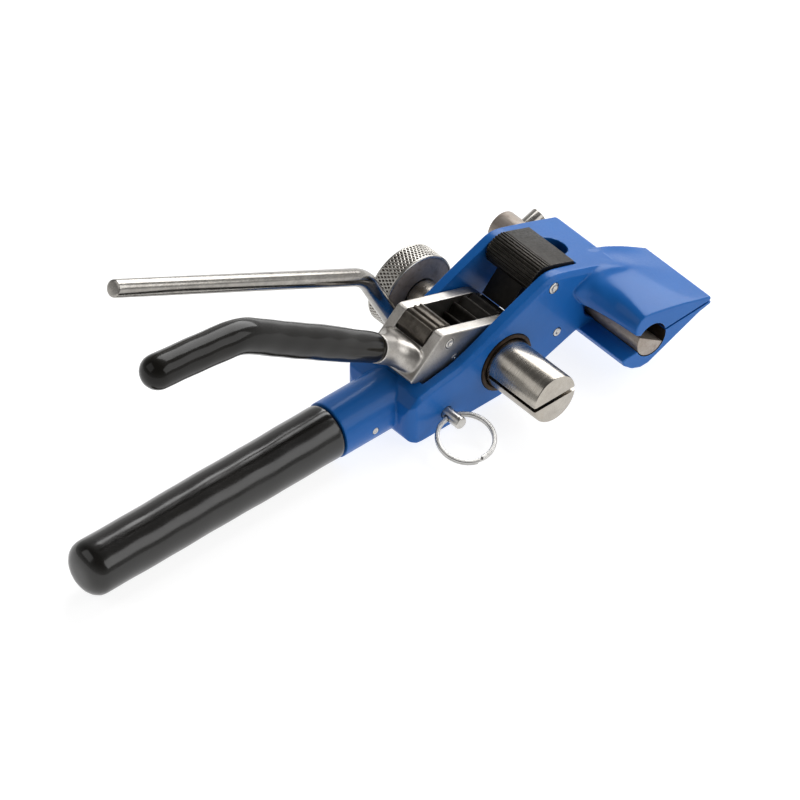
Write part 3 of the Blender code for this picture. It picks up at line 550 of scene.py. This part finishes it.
cut(body,
    block(-40.0, 35.0, -WINDOW, WINDOW, -8.6, 40),
    block(-36.6, 35.0, -WINDOW, WINDOW, -30, -8.5),
    block(34.0, 42.7, -WINDOW + 0.2, WINDOW - 0.2, 13.0, 40),
    post(circle((42.0, 0.0), 6.6, 48), 13.0, 40),
    plate(soften([(57.0, -1.6), (47.2, 4.4), (36.0, 11.0), (36.0, -4.7), (48.0, -4.3), (55.0, -6.5)], 0.5), -50, -CHEEK),
    plate(soften([(57.0, -1.6), (47.2, 4.4), (41.4, 7.6), (42.9, 0.5), (48.0, -4.3), (55.0, -6.5)], 0.5), -21.0, -15.2))
cast(body, 0.33, 8, 0.5)
cut(body,
    disc((0, 0), 13.5, -30, 0, 72),
    disc((0, 0), 11.5, 0, 30, 72),
    disc(CUT, CUT_R + 0.4, -50, 40, 64),
    plate([(60.0, -1.2), (91.0, 0.3), (91.0, 1.4), (60.0, -0.1)], -50, -CHEEK),
    disc(PAWL_PIN, 2.75, -30, 30, 40),
    disc(CROSS_PIN, 2.25, -30, 30, 40),
    disc(PULL_PIN, 3.0, -30, 30, 40),
    rod((-90.0, 0, HZ), (-51.0, 0, HZ), BR + GAP, 48),
    disc((-63.0, HZ - 1.0), 1.7, -30, 30, 32),
    rod((CUT[0], 26.0, CUT[1] + 4), (CUT[0], 26.0, CUT[1] + 14), 1.8, 24),
    solver="MANIFOLD")
piece(body, "body_casting", BLUE.m, "frame", ["body_frame"], sharp=40)
body.data.materials.append(BORE.m)
for f in body.data.polygons:
    x, z = f.center.x / MM - 41 - CUT[0], f.center.z / MM - 17 - CUT[1]
    if abs(math.hypot(x, z) - CUT_R - 0.4) < 0.12 and abs(f.normal.y) < 0.3:
        f.material_index = 1

# ---------------------------------------------------------------- main handle
def sag(s, a):
    return 0.10 * math.sin(s * 0.11 + 0.7) * math.cos(a - 0.6) + 0.06 * math.sin(s * 0.31 + 2.0 * a)
Lh = H_START - H_END
grip = sweep([Vector((H_START, 0, HZ)), Vector((H_END, 0, HZ))],
             [(0, BR + 0.05), (0, HR - 1.1), (0.25, HR - 0.55), (0.9, HR - 0.2), (2.2, HR - 0.08), (Lh - 7.0, HR - 0.1), (Lh - 5.0, HR - 0.45), (Lh - 3.2, HR - 1.5),
              (Lh - 1.8, HR - 3.0), (Lh - 0.8, HR - 4.8), (Lh - 0.25, HR - 7.0), (Lh - 0.05, HR - 9.5), (Lh, 0)], 96,
             lambda s, a: sag(s, a) * 0.8 if 2 < s < Lh - 6 else 0.0)
bmx = bmesh.new()
bmx.from_mesh(grip.data)
bmesh.ops.holes_fill(bmx, edges=[e for e in bmx.edges if e.is_boundary], sides=0)
bmesh.ops.recalc_face_normals(bmx, faces=bmx.faces[:])
bmx.to_mesh(grip.data)
bmx.free()
piece(grip, "main_grip_dip", PVC.m, "frame", ["handle_grip", "handle_bar"], sharp=60)
piece(rod((-63.0, -12.25, HZ - 1.0), (-63.0, 12.25, HZ - 1.0), 1.5, 32, 0.25, 0.6), "socket_cross_pin", STEEL_P.m, "frame", ["handle_cross_pin"])

# ---------------------------------------------------------------- bushes and pins
def bush(c, r_in, r_out, y0, y1):
    e = 0.5
    prof = [(y0, r_in + e), (y0, r_out - e), (y0 + e * 0.3, r_out - e * 0.3), (y0 + e, r_out), (y1 - e, r_out), (y1 - e * 0.3, r_out - e * 0.3), (y1, r_out - e),
            (y1, r_in + e), (y1 - e, r_in), (y0 + e, r_in), (y0, r_in + e)]
    seg, verts, faces = 96, [], []
    for y, r in prof[:-1]:
        for i in range(seg):
            a = 2 * math.pi * i / seg
            verts.append((c[0] + r * math.cos(a), y, c[1] + r * math.sin(a)))
    k = len(prof) - 1
    for j in range(k):
        for i in range(seg):
            faces.append([j * seg + i, j * seg + (i + 1) % seg, ((j + 1) % k) * seg + (i + 1) % seg, ((j + 1) % k) * seg + i])
    return temp(to_mesh(verts, faces))
piece(bush((0, 0), 11.35, 13.3, -20.75, -14.9), "mandrel_bush", BRONZE.m, "frame", ["near_bush"])
piece(bush((0, 0), 9.3, 11.3, 14.9, 20.4), "far_journal_bush", BRONZE.m, "frame", ["far_bush"])
piece(rod((PAWL_PIN[0], -20.3, PAWL_PIN[1]), (PAWL_PIN[0], 20.3, PAWL_PIN[1]), 2.5, 48, 0.5, 1.1), "holding_pawl_pivot_pin", STEEL_P.m, "frame", ["holding_pawl_pin"])
piece(rod((CROSS_PIN[0], -20.3, CROSS_PIN[1]), (CROSS_PIN[0], 20.3, CROSS_PIN[1]), 2.0, 48, 0.45, 0.9), "cheek_spacer_pin", STEEL_P.m, "frame", ["frame_spacer_pin"])
piece(rod((CUT[0], 26.0, CUT[1] + 6.2), (CUT[0], 26.0, CUT[1] + 9.9), 1.5, 32, 0.3), "boss_pin", STEEL_P.m, "frame", ["shaft_retaining_pin"])

# ---------------------------------------------------------------- windlass
sp = turned_y((0, 0), [(SPINDLE_END, 0), (SPINDLE_END, SPINDLE_R - 0.7), (SPINDLE_END + 0.2, SPINDLE_R - 0.25), (SPINDLE_END + 0.7, SPINDLE_R), (-14.2, SPINDLE_R), (-14.2, 9.0), (20.8, 9.0),
                       (20.8, 8.0), (21.3, 8.0), (21.3, 6.9), (22.5, 6.9), (22.5, 8.0), (32.8, 8.0), (32.8, 7.0), (39.7, 7.0), (39.7, 0)], 128)
cut(sp, block(-15, 15, SPINDLE_END - 1, SPINDLE_END + 28.0, -1.0, 1.0), block(-2.25, 2.25, -7.3, 7.3, 6.9, 12))
bevel(sp, 0.14, 1, 50)
piece(sp, "slotted_mandrel", STEEL_T.m, "windlass", ["windlass_spindle"])

teeth = []
for i in range(18):
    p = 2 * math.pi / 18
    for f, r in ((0.0, 13.75), (0.03, 15.6), (0.045, 16.1), (0.10, 16.2), (0.20, 16.15), (0.35, 15.35), (0.55, 14.5), (0.75, 13.95), (0.92, 13.7)):
        a = i * p + f * p
        teeth.append((r * math.cos(a), r * math.sin(a)))
gear = plate(teeth, -8.0, 8.0)
cut(gear, disc((0, 0), 9.3, -20, 20, 64), block(-2.25, 2.25, -20, 20, 5, 11.3))
bevel(gear, 0.18, 1, 35)
piece(gear, "ratchet_wheel", BLACK.m, "windlass", ["ratchet_gear"])

# knurled knob: diamond pits pressed into the rim, turned faces; the pit floors are coloured near-black as painted shade
# and the turned faces brown as painted reflection
def knob_mesh():
    count = 66
    seg = count * 8
    y0, y1 = KNOB_Y
    row = math.pi * KNOB_R / count * 1.62
    lo, hi = y0 + 2.0, y1 - 1.3
    rows_k = 48
    prof = [(y0, 8.4), (y0, 12.0), (y0 + 0.82, 16.6), (y0 + 1.15, 17.05), (y0 + 1.2, 17.25), (y0 + 1.0, 17.45), (y0 + 0.98, 17.65), (y0 + 1.1, 17.9), (y0 + 1.45, KNOB_R - 0.06), (y0 + 1.65, KNOB_R), (y0 + 1.9, KNOB_R)]
    prof += [(lo + (hi - lo) * i / rows_k, None) for i in range(rows_k + 1)]
    prof += [(y1 - 1.2, KNOB_R), (y1 - 0.9, KNOB_R - 0.1), (y1 - 0.25, KNOB_R - 0.95), (y1, KNOB_R - 1.6), (y1, 5.2), (y1 - 0.2, 5.0), (y1 - 2.0, 5.0), (y1 - 2.0, 2.8)]
    def cell(a, y):
        """0 in the middle of a pit, 1 on the lattice between."""
        A, B = a / (2 * math.pi) * count, (y - lo - 0.55) / (2 * row)
        u, v = A + B, A - B
        return max(abs(u - round(u)), abs(v - round(v))) * 2
    verts, faces = [], []
    for y, r in prof:
        for i in range(seg):
            a = 2 * math.pi * i / seg
            rr = r
            if r is None:
                m = cell(a, y)
                edge = max(0.0, min(1.0, (y - lo) / 0.3, (hi - y) / 0.3))
                rr = KNOB_R - 0.62 * max(0.0, 1 - m / 0.72) * edge
            verts.append((rr * math.cos(a), y, rr * math.sin(a)))
    k = len(prof)
    for j in range(k - 1):
        for i in range(seg):
            faces.append([j * seg + i, j * seg + (i + 1) % seg, (j + 1) * seg + (i + 1) % seg, (j + 1) * seg + i])
    # close through the bore
    for i in range(seg):
        faces.append([(k - 1) * seg + i, (k - 1) * seg + (i + 1) % seg, (i + 1) % seg, i])
    o = temp(to_mesh(verts, faces))
    index = []
    for j in range(k):
        ya, yb = prof[j][0], prof[(j + 1) % k][0]
        ra, rb = prof[j][1], prof[(j + 1) % k][1]
        for i in range(seg):
            if ra is None and rb is None:
                m = cell(2 * math.pi * (i + 0.5) / seg, (ya + yb) / 2)
                # index 2 puts the painted-shade material on the pit floors
                index.append(2 if m < 0.60 and lo + 0.15 < (ya + yb) / 2 < hi - 0.15 else 0)
            else:
                r = min(KNOB_R if ra is None else ra, KNOB_R if rb is None else rb)
                index.append(1 if r < 17.3 else 0)
    return o, index
knob, knob_faces = knob_mesh()
knob = piece(knob, "knurled_handwheel", KNOB.m, "windlass", ["knurled_knob"], sharp=28)
knob.data.materials.append(KNOB_FACE.m)
knob.data.materials.append(KNURL_PIT_SHADE.m)
for f, m in zip(knob.data.polygons, knob_faces):
    f.material_index = m
screw = turned_y((0, 0), [(35.0, 0), (35.0, 2.4), (43.5, 2.4), (43.5, 4.3), (43.7, 4.6), (44.5, 4.6), (45.0, 4.2), (45.1, 3.6), (45.1, 0)], 64)
cut(screw, block(-6, 6, 44.2, 47, -0.5, 0.5))
piece(screw, "knob_end_screw", STEEL_P.m, "windlass", ["knob_screw"])
NODES["spindle_circlip"].data.materials.clear()
NODES["spindle_circlip"].data.materials.append(BLACK.m)
NODES["gear_key"].data.materials.clear()
NODES["gear_key"].data.materials.append(STEEL_P.m)

# ---------------------------------------------------------------- lever fork
ARM = (arc(0, 0, HUB_R, -138, 73, 48)
       + [(-27.4, 26.3), (-29.2, 26.1), (-45.3, 11.4), (-45.2, 10.2), (-42.8, 8.9), (-39.5, 8.5), (-38.9, 2.0), (-36.8, -2.0), (-34.6, -5.5), (-29.5, -5.2)])
fork = plate(ARM, -ARM_OUT, ARM_OUT)
cut(fork, plate([(60, -60), (60, 60), (-60, 60), (-60, -60)], -ARM_IN, ARM_IN))
BASE = [(-45.3, 11.4), (-45.2, 10.2), (-42.8, 8.9), (-39.5, 8.5), (-38.9, 2.0), (-37.9, 0.0), (-33.4, 0.0), (-33.4, 15.0), (-34.7, 20.6)]
fuse(fork, plate(BASE, -ARM_OUT + 1.0, ARM_OUT - 1.0))
d1 = (Vector((LEVER_PATH[1][0], 0, LEVER_PATH[1][1])) - Vector((LEVER_PATH[0][0], 0, LEVER_PATH[0][1]))).normalized()
neck0 = Vector((-38.6, 0, 15.27)) - d1 * 2.0
neck1 = Vector((-52.3, 0, 24.5))
nl = (neck1 - neck0).length
up = Vector((-d1.z, 0, d1.x)) * -1.0
flare = []
for row in spline([np.array(v) for v in ((-3.0, 12.3, 6.0, 0.6), (1.8, 12.3, 6.3, 0.6), (3.8, 10.4, 6.3, 0.75), (6.2, 8.2, 6.2, 0.9), (9.5, 6.7, 6.1, 1.0), (13.5, 6.05, 6.05, 1.0))], 4):
    s, w, h, e = [float(v) for v in row]
    c = Vector((-38.6, 0, 15.27)) + d1 * s
    ring = []
    for k in range(64):
        a = 2 * math.pi * (k + 0.5) / 64
        ca, sa = math.cos(a), math.sin(a)
        ring.append(c + Vector((0, 1, 0)) * (w * math.copysign(abs(ca) ** e, ca)) + up * (h * math.copysign(abs(sa) ** e, sa)))
    flare.append(ring)
fuse(fork, ring_loft(flare))
fuse(fork, sweep([neck0, neck1], [(0, 0), (0, 5.6), (5.0, 6.0), (11.0, 6.3), (nl, 6.1), (nl, 0)], 64))
cut(fork, plate(soften([(-36.4, 21.2), (-34.6, 20.6), (-33.4, 15.0), (-33.4, 14.0), (-15, 14.0), (-15, 40), (-28.0, 40)], 0.3), -ARM_IN, ARM_IN))
cast(fork, 0.26, 6, 0.5)
cut(fork,
    disc((0, 0), 9.3, -20, 20, 64),
    disc(FORK_PIN, 2.45, -20, 20, 40),
    disc(FORK_DOWEL, 1.85, -20, 0, 32),
    rod(Vector((LEVER_PATH[0][0], 0, LEVER_PATH[0][1])), neck1 + d1 * 5, CORE_R + GAP, 40),
    rod((-37.8, 0, 8.0), (-30.0, 0, 8.0), 2.4, 32),
    solver="MANIFOLD")
piece(fork, "lever_fork_casting", NICKEL.m, "lever", ["lever_fork"], sharp=40)

path = fillet_path([(x, 0, z) for x, z in LEVER_PATH], [30.0], 30)
total = sum((b - a).length for a, b in zip(path, path[1:]))
g0 = (neck1 - path[0]).length + 0.4
def sag2(s, a):
    return (0.07 * math.sin(s * 0.16 + a) + 0.05 * math.sin(s * 0.41 + 2 * a)) if g0 + 4 < s < total - 6 else 0.0
lg = sweep(path, [(g0, CORE_R + 0.05), (g0, LEVER_R - 2.3), (g0 + 0.25, LEVER_R - 1.75), (g0 + 1.0, LEVER_R - 1.35), (g0 + 3.0, LEVER_R - 1.1), (g0 + 30.0, LEVER_R - 0.15),
                  (total - 6.5, LEVER_R - 0.05), (total - 4.6, LEVER_R - 0.45), (total - 2.9, LEVER_R - 1.35), (total - 1.5, LEVER_R - 2.7), (total - 0.6, LEVER_R - 4.2),
                  (total - 0.15, LEVER_R - 5.8), (total, 0)], 80, sag2)
bmx = bmesh.new()
bmx.from_mesh(lg.data)
bmesh.ops.holes_fill(bmx, edges=[e for e in bmx.edges if e.is_boundary], sides=0)
bmesh.ops.recalc_face_normals(bmx, faces=bmx.faces[:])
bmx.to_mesh(lg.data)
bmx.free()
piece(lg, "lever_grip_dip", PVC_LEVER.m, "lever", ["lever_grip", "lever_bar"], sharp=60)
piece(rod((FORK_PIN[0], -13.85, FORK_PIN[1]), (FORK_PIN[0], 13.85, FORK_PIN[1]), 2.2, 48, 0.45, 1.0), "drive_pawl_pivot_pin", STEEL_P.m, "lever", ["drive_pawl_pin"])
piece(rod((FORK_DOWEL[0], -13.75, FORK_DOWEL[1]), (FORK_DOWEL[0], -8.9, FORK_DOWEL[1]), 1.6, 32, 0.3, 0.6), "fork_cheek_dowel", STEEL_P.m, "lever", ["fork_dowel"])

# ---------------------------------------------------------------- pawls
drive = [(-33.9, 21.3), (-34.0, 22.9), (-31.4, 25.3)]
drive += [(-30.0, 26.1), (-29.3, 26.4), (-28.9, 25.5), (-28.2, 25.5), (-27.8, 26.6), (-26.6, 26.6), (-26.2, 25.6), (-25.5, 25.5), (-25.1, 26.5), (-24.0, 26.3), (-23.4, 25.2),
          (-22.4, 25.1), (-21.6, 25.6), (-19.9, 24.1), (-18.7, 21.6), (-18.4, 17.6), (-16.8, 12.5), (-15.55, 6.1), (-16.3, 4.0), (-19.8, 6.2),
          (-22.4, 12.8), (-26.0, 15.2), (-32.7, 16.2)]
dp = plate(drive, -8.1, 8.1)
cut(dp, disc(FORK_PIN, 2.45, -20, 20, 40))
bevel(dp, 0.28, 2, 25)
piece(dp, "drive_pawl_block", BLACK_WORN_SHEEN.m, "drive_pawl", ["drive_pawl"])

rim, a = [], 64.0
px, pz = PAWL_PIN
while a < 196:
    step = 12.0
    for f, r in ((0.0, 6.75), (0.16, 7.25), (0.58, 7.3), (0.76, 6.75)):
        t = math.radians(a + f * step)
        rim.append((px + r * math.cos(t), pz + r * math.sin(t)))
    a += step
rim += arc(px, pz, 7.2, a + 2, 304, 24)
pad = [(31.6, 21.4), (33.6, 24.4), (41.2, 22.2), (42.1, 23.4), (42.0, 26.2), (30.6, 30.7), (29.4, 31.1)]
hp = plate(rim + pad, -13.7, 13.7)
fuse(hp, plate([(21.5, 23.5), (11.25, 12.35), (12.45, 11.15), (26.0, 19.0)], -7.7, 7.7))
cut(hp, disc(PAWL_PIN, 2.75, -20, 20, 40))
bevel(hp, 0.22, 2, 25)
piece(hp, "holding_pawl_block", BLACK.m, "holding_pawl", ["holding_pawl"])

def coil(p0, p1, r, wire, turns, per=28):
    p0, p1 = Vector(p0), Vector(p1)
    t = (p1 - p0).normalized()
    n = Vector((0, 1, 0)).cross(t).normalized()
    b = t.cross(n)
    k = int(turns * per)
    def pitch(f):
        return min(1.0, max(0.0, (f - 0.08) / 0.84)) * 0.9 + f * 0.1
    return tube_loop([p0 + (p1 - p0) * pitch(i / k) + n * (r * math.cos(2 * math.pi * i / per)) + b * (r * math.sin(2 * math.pi * i / per))
                      for i in range(k + 1)], wire, 10)
piece(coil((-37.2, 0, 8.0), (-21.6, 0, 8.0), 1.6, 0.35, 7), "drive_pawl_coil", SPRING.m, "lever", ["drive_pawl_spring"])
piece(coil((38.7, 0, 13.6), (38.7, 0, 21.7), 2.4, 0.4, 5), "holding_pawl_coil", SPRING.m, "frame", ["holding_pawl_spring"])

# ---------------------------------------------------------------- cutter
shaft = turned_y(CUT, [(-47.0, 0), (-47.0, CUT_R - 0.4), (-46.88, CUT_R - 0.12), (-46.6, CUT_R), (23.9, CUT_R), (23.9, 5.8), (28.1, 5.8), (28.1, CUT_R),
                       (CUT_END - 0.7, CUT_R), (CUT_END - 0.2, CUT_R - 0.2), (CUT_END, CUT_R - 0.7), (CUT_END, 0)], 96)
nn, tt = Vector((0.576, 0, 0.817)), Vector((0.817, 0, -0.576))
c3 = Vector((CUT[0], 0, CUT[1]))
q = [c3 + tt * 12, c3 + tt * 12 + nn * 12, c3 - tt * 12 + nn * 12, c3 - tt * 12]
cut(shaft, plate([(p.x, p.z) for p in q], -50, -19.5))
rise = Vector((math.cos(math.radians(RISE)), 0, math.sin(math.radians(RISE))))
cross = Vector((CUT[0], ROD_CROSS_Y, CUT[1]))
cut(shaft, rod(cross - rise * 12, cross + rise * 12, ROD_R + 0.2, 48), disc(CUT, 2.2, 39.0, CUT_END + 1, 32))
bevel(shaft, 0.15, 1, 50)
piece(shaft, "cutter_shaft_bar", CUTTER.m, "cutter", ["cutter_shaft"])
rp = fillet_path([tuple(cross + rise * 14.0), tuple(cross - rise * 15.5), (26.0, ROD_Y + 0.5, -11.6), (19.0, ROD_Y, -12.42), (-12.4, ROD_Y, -12.42),
                  (-35.4, ROD_Y, 35.2), (-166.1, ROD_Y, 104.9)], [9.0, 9.0, 9.0, 12.0, 20.0], 16)
L = sum((b - a).length for a, b in zip(rp, rp[1:]))
rr = sweep(rp, [(0.0, 0), (0.0, ROD_R - 0.4), (0.1, ROD_R - 0.15), (0.35, ROD_R - 0.02), (L - 1.1, ROD_R - 0.02), (L - 0.35, ROD_R - 0.25), (L - 0.05, ROD_R - 0.8), (L, ROD_R - 1.2), (L, 0)], 56)
piece(rr, "cutter_bent_rod", STEEL_F.m, "cutter", ["cutter_lever_rod"])
NODES["rod_grub_screw"].data.materials.clear()
NODES["rod_grub_screw"].data.materials.append(BLACK.m)

# ---------------------------------------------------------------- stop pin and ring
RING_R = 11.7
rd = Vector((-2.2, -11.1, -2.95)).normalized()
rt = Vector((-rd.y, rd.x, 0)).normalized()
rn = rt.cross(rd).normalized()
eye = Vector((PULL_PIN[0], -23.2, PULL_PIN[1]))
pin = sweep([Vector((PULL_PIN[0], -29.2, PULL_PIN[1])), Vector((PULL_PIN[0], 19.7, PULL_PIN[1]))],
            [(0, 0), (0, 2.2), (0.12, 2.5), (0.45, 2.7), (48.5, 2.7), (48.9, 2.3), (48.9, 0)], 56)
cut(pin, rod(eye - rt * 6, eye + rt * 6, 1.6, 40))
bevel(pin, 0.12, 1, 40)
piece(pin, "quick_stop_pin", STEEL_P.m, "stop_pin", ["lever_stop_pin"])
centre = eye + rd * RING_R
rings, per, pitch = [], 72, 1.0
for i in range(1, 2 * per):
    a = 2 * math.pi * i / per
    out_ = rd * math.cos(a) + rt * math.sin(a)
    c = centre + out_ * RING_R + rn * (pitch * (i / per - 1))
    rings.append([c + out_ * (0.9 * u) + rn * (0.485 * v) for u, v in ((1.0, 0.35), (0.93, 0.72), (0.75, 0.96), (0.5, 1.0), (-0.5, 1.0), (-0.75, 0.96), (-0.93, 0.72), (-1.0, 0.35),
                                                                      (-1.0, -0.35), (-0.93, -0.72), (-0.75, -0.96), (-0.5, -1.0), (0.5, -1.0), (0.75, -0.96), (0.93, -0.72), (1.0, -0.35))])
piece(ring_loft(rings), "pull_split_ring", SPRING.m, "ring", ["split_ring"], sharp=60)

# ---------------------------------------------------------------- floor, light
def simple(name, rgb, rough, emit):
    m = bpy.data.materials.new(name)
    m.use_nodes = True
    b = m.node_tree.nodes["Principled BSDF"]
    b.inputs["Base Color"].default_value = (*rgb, 1)
    b.inputs["Roughness"].default_value = rough
    b.inputs["Specular IOR Level"].default_value = 0.0
    b.inputs["Emission Color"].default_value = (1, 1, 1, 1)
    b.inputs["Emission Strength"].default_value = emit
    return m
FLOOR_Z = cad_box[0].z - 0.0002
fm = bpy.data.meshes.new("floor")
fm.from_pydata([(-6, -6, FLOOR_Z), (6, -6, FLOOR_Z), (6, 6, FLOOR_Z), (-6, 6, FLOOR_Z)], [], [[0, 1, 2, 3]])
floor = bpy.data.objects.new("floor", fm)
fm.materials.append(simple("pale_floor", (0.40, 0.40, 0.40), 0.9, 0.84))
bpy.context.scene.collection.objects.link(floor)

def area(name, direction, dist, sx, sy, power, color=(1, 1, 1), spread=180):
    l = bpy.data.lights.new(name, "AREA")
    l.shape, l.size, l.size_y, l.energy, l.color = "RECTANGLE", sx, sy, power, color
    l.spread = math.radians(spread)
    o = bpy.data.objects.new(name, l)
    d = Vector(direction).normalized()
    target = Vector((0.0, 0.0, 0.02))
    o.location = target + d * dist
    o.rotation_mode = "QUATERNION"
    o.rotation_quaternion = d.to_track_quat("Z", "Y")
    o.visible_camera = False
    bpy.context.scene.collection.objects.link(o)
    return o
area("key", (0.75, 0.30, 0.60), 1.9, 1.5, 1.5, 32)
area("left_fill", (-0.70, 0.30, 0.65), 1.9, 1.5, 1.2, 5)
area("front_softbox", (0.49, -0.70, 0.52), 1.6, 1.4, 0.85, 8)

w = bpy.data.worlds.new("studio")
bpy.context.scene.world = w
w.use_nodes = True
nt = w.node_tree
bg = nt.nodes["Background"]
tc = nt.nodes.new("ShaderNodeTexCoord")
def lobe(direction, stops):
    """Brightness as a function of the angle from one direction."""
    d = nt.nodes.new("ShaderNodeVectorMath")
    d.operation = "DOT_PRODUCT"
    v = Vector(direction).normalized()
    d.inputs[1].default_value = v
    nt.links.new(tc.outputs["Generated"], d.inputs[0])
    m = nt.nodes.new("ShaderNodeMapRange")
    m.inputs["From Min"].default_value, m.inputs["From Max"].default_value = -1.0, 1.0
    nt.links.new(d.outputs["Value"], m.inputs["Value"])
    r = nt.nodes.new("ShaderNodeValToRGB")
    e = r.color_ramp.elements
    while len(e) < len(stops):
        e.new(0.5)
    for el, (p, c) in zip(e, stops):
        el.position = (p + 1) / 2
        el.color = (c, c, c, 1)
    nt.links.new(m.outputs[0], r.inputs[0])
    return r.outputs[0]
up = lobe((0, 0, 1), [(-0.1, 0.50), (0.12, 0.42), (0.40, 0.20), (0.65, 0.10), (1.0, 0.10)])
side = lobe((0.85, 0.35, 0.15), [(0.2, 0.0), (0.75, 0.30), (1.0, 0.36)])
add = nt.nodes.new("ShaderNodeMix")
add.data_type, add.blend_type = "RGBA", "ADD"
add.inputs[0].default_value = 1.0
nt.links.new(up, add.inputs[6])
nt.links.new(side, add.inputs[7])
nt.links.new(add.outputs[2], bg.inputs[0])
bg.inputs[1].default_value = 1.0
bpy.context.scene.view_settings.view_transform = "Standard"
bpy.context.scene.view_settings.look = "None"
